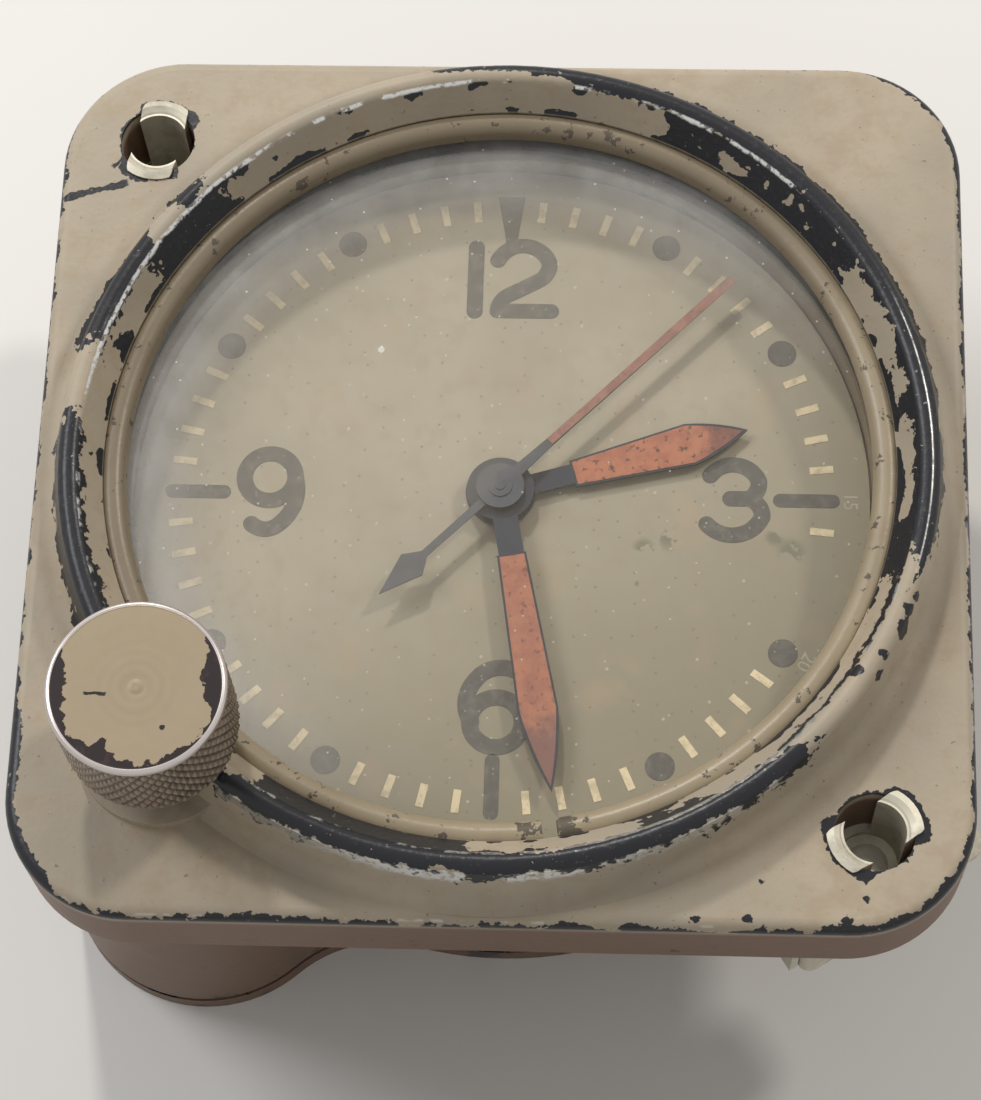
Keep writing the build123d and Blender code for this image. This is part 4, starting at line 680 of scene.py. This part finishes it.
def knurled_knob():
    """The knob with its knurl cut in, round the same axis and as tall as in the frame."""
    low, high = knob_low.z + 0.55, KNOB_TOP - 0.62
    levels = int((high - low) / LEVEL_TALL)
    rings = []

    def plain(radius, z):
        rings.append([(radius, z)] * STEPS)

    for radius, z in ((3.6, knob_low.z + 0.9), (3.8, knob_low.z), (4.9, knob_low.z),
                      (KNOB_R - 0.3, knob_low.z + 0.35)):
        plain(radius, z)
    for count in range(levels + 1):
        z = low + (high - low) * count / levels
        fade = min(1.0, min(z - low, high - z) / 0.2 + 0.25)
        ring = []
        for step in range(STEPS):
            cut = 1 - knurl_height(step / STEPS_EACH, (z - low) / DIAMOND_TALL)
            radius = KNOB_R - KNURL_DEPTH * (1 - fade) * 0.5 - KNURL_DEPTH * fade * cut
            away = math.radians((step * 360 / STEPS - SCREW_TURN + 180) % 360 - 180) * KNOB_R
            if math.hypot(away, z - SCREW_Z) < SCREW_HOLE_R:
                radius = SCREW_FLOOR_R
            ring.append((radius, z))
        rings.append(ring)
    for radius, z in ((KNOB_R - 0.16, high + 0.06), (KNOB_R - 0.06, high + 0.16),
                      (KNOB_R - 0.04, high + 0.30), (KNOB_R - 0.09, KNOB_TOP - 0.14),
                      (KNOB_R - 0.2, KNOB_TOP - 0.03), (RIM_R + 0.05, KNOB_TOP),
                      (RIM_R, KNOB_TOP - 0.03), (RIM_R - 0.1, KNOB_TOP - 0.07),
                      (4.0, KNOB_TOP - 0.06), (2.6, KNOB_TOP - 0.08), (1.2, KNOB_TOP - 0.07),
                      (0.5, KNOB_TOP - 0.1), (0.25, KNOB_TOP - 0.04)):
        plain(radius, z)
    placed = []
    for ring in rings:
        placed.append([])
        for step, (radius, z) in enumerate(ring):
            turn = 2 * math.pi * step / STEPS
            placed[-1].append(Vector((KNOB_X + radius * math.cos(turn),
                                      KNOB_Y + radius * math.sin(turn), z)) * MM)
    mesh = turned_mesh("knurled_knob", placed, STEPS)
    mesh.materials.append(knob_metal())
    knob = bpy.data.objects.new("knurled_knob", mesh)
    bpy.context.collection.objects.link(knob)
    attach(knob, "knob_and_stem")
    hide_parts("knob")
    return knob


def faded_numerals():
    """The two second numerals still faintly left at the dial's right edge, tops outward."""
    ink = print_ink("faded_cream", (0.47, 0.43, 0.33), (0.38, 0.35, 0.26), 1.0)
    for words, towards in NUMERALS:
        text = bpy.data.curves.new("faded_" + words, "FONT")
        text.body = words
        text.size = NUMERAL_SIZE * MM
        text.align_x = "CENTER"
        text.align_y = "CENTER"
        text.extrude = NUMERAL_THICK * MM
        text.materials.append(ink)
        piece = bpy.data.objects.new("faded_" + words, text)
        bpy.context.collection.objects.link(piece)
        turn = math.radians(towards)
        piece.location = Vector((NUMERAL_R * math.cos(turn), NUMERAL_R * math.sin(turn),
                                 DIAL_TOP + NUMERAL_LIFT)) * MM
        piece.rotation_euler = (0, 0, turn - math.pi / 2)
        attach(piece, "case")


def paint_over(name, material):
    """Gives a CAD node its material."""
    mesh = nodes[name].data
    mesh.materials.clear()
    mesh.materials.append(material)


def give_materials():
    """Every node gets plain steel first, then its own material where it has one."""
    blued = metal("blued_steel", (0.03, 0.034, 0.045), 0.34, 0.35, (0.012, 0.012, 0.012), 0.3, 0.75)
    hub = metal("grey_steel", (0.065, 0.07, 0.082), 0.34, 0.4, (0.03, 0.03, 0.03), 0.3, 0.9)
    steel = metal("steel", (0.52, 0.52, 0.53), 0.28, 0.2)
    cadmium = metal("dull_cadmium", (0.54, 0.51, 0.42), 0.42, 0.4, (0.16, 0.14, 0.10), 0.5, 0.7)
    by_material = {
        painted_case(): "case_casting rear_cover",
        old_glass(): "crystal",
        rubber(): "crystal_gasket rear_gasket",
        wire_paint(): "retaining_ring",
        cadmium: "panel_nut_clips panel_nuts",
        dial_paint(): "dial",
        print_ink("dial_black", (0.075, 0.07, 0.06), (0.15, 0.14, 0.115), 0.7): "dial_figures",
        print_ink("dial_cream", (0.80, 0.67, 0.43), (0.50, 0.41, 0.25), 0.8): "minute_track",
        lume("hour_lume", (0.46, 0.165, 0.085), (0.36, 0.12, 0.07), 0.85, (0.13, 0.05, 0.045),
             (13.0, 0.75)): "hour_hand_lume",
        lume("minute_lume", (0.42, 0.16, 0.09), (0.34, 0.12, 0.075), 0.5, (0.17, 0.085, 0.075),
             (15.0, 0.8)): "minute_hand_lume",
        lume("second_red", (0.33, 0.14, 0.10), (0.23, 0.09, 0.07), 0.4, (0.2, 0.1, 0.08)):
            "second_hand_lume",
        blued: "hour_hand minute_hand hairspring click_spring mainspring",
        hub: "second_hand cannon_pinion fourth_wheel",
        brass(): "stem_bush main_plate rear_plate plate_pillars barrel barrel_cover centre_wheel "
                 "third_wheel minute_wheel hour_wheel setting_wheel pallet_cock balance_cock "
                 "balance_wheel escape_wheel",
    }
    for name in nodes:
        paint_over(name, steel)
    for material, names in by_material.items():
        for name in names.split():
            paint_over(name, material)
    # The film on the glass is too thin to shade the dial, and leaving its shadow out is quick
    nodes["crystal"].visible_shadow = False
    nodes["crystal"].visible_diffuse = False


def studio():
    """Pale floor, soft lamps and plain world."""
    floor_mesh = bpy.data.meshes.new("floor")
    turns = ((-1, -1), (1, -1), (1, 1), (-1, 1))
    corners = [(x * FLOOR_REACH, y * FLOOR_REACH, FLOOR_Z) for x, y in turns]
    floor_mesh.from_pydata(corners, [], [(0, 1, 2, 3)])
    floor = bpy.data.objects.new("floor", floor_mesh)
    bpy.context.collection.objects.link(floor)
    g = Graph("pale_floor", roughness=0.9, specular_ior_level=0.0)
    g.set("Base Color", g.colour(g.noise(60, 1, 0.5), (0.80, 0.79, 0.77), (0.84, 0.83, 0.81)))
    floor_mesh.materials.append(g.material)

    world = bpy.data.worlds.new("studio")
    bpy.context.scene.world = world
    world.use_nodes = True
    tree = world.node_tree
    background = tree.nodes["Background"]
    background.inputs["Color"].default_value = (*WORLD_COLOUR, 1)
    path = tree.nodes.new("ShaderNodeLightPath")
    seen = path.outputs["Is Camera Ray"]
    for ray in ("Is Glossy Ray", "Is Transmission Ray"):
        either = tree.nodes.new("ShaderNodeMath")
        either.operation = "MAXIMUM"
        tree.links.new(seen, either.inputs[0])
        tree.links.new(path.outputs[ray], either.inputs[1])
        seen = either.outputs[0]
    level = tree.nodes.new("ShaderNodeMapRange")
    tree.links.new(seen, level.inputs["Value"])
    level.inputs["To Min"].default_value = WORLD_LIGHT
    level.inputs["To Max"].default_value = WORLD_SEEN
    tree.links.new(level.outputs["Result"], background.inputs["Strength"])
    for name, place, size, power, tint in LAMPS:
        lamp = bpy.data.lights.new(name, "AREA")
        lamp.shape = "DISK"
        lamp.size = size
        lamp.energy = power
        lamp.color = tint
        holder = bpy.data.objects.new(name, lamp)
        bpy.context.collection.objects.link(holder)
        holder.location = place
        holder.rotation_euler = Vector(place).to_track_quat("Z", "Y").to_euler()


def camera():
    turn = Matrix.Rotation(VIEW_TURN.length, 3, VIEW_TURN.normalized()) @ Matrix.Diagonal(
        (1, -1, -1))
    data = bpy.data.cameras.new("camera")
    data.lens = VIEW_LENS
    data.sensor_width = SENSOR_WIDTH
    data.clip_start = NEAR_CLIP
    holder = bpy.data.objects.new("camera", data)
    bpy.context.collection.objects.link(holder)
    pose = (turn.transposed() @ Matrix.Diagonal((1, -1, -1))).to_4x4()
    pose.translation = -(turn.transposed() @ VIEW_PLACE) * MM
    holder.matrix_world = pose
    bpy.context.scene.camera = holder


bpy.context.scene.view_settings.view_transform = "Standard"
bpy.context.scene.cycles.diffuse_bounces = DIFFUSE_BOUNCES
bpy.context.scene.cycles.glossy_bounces = GLOSSY_BOUNCES
camera()
studio()
give_materials()
knurled_knob()
faded_numerals()
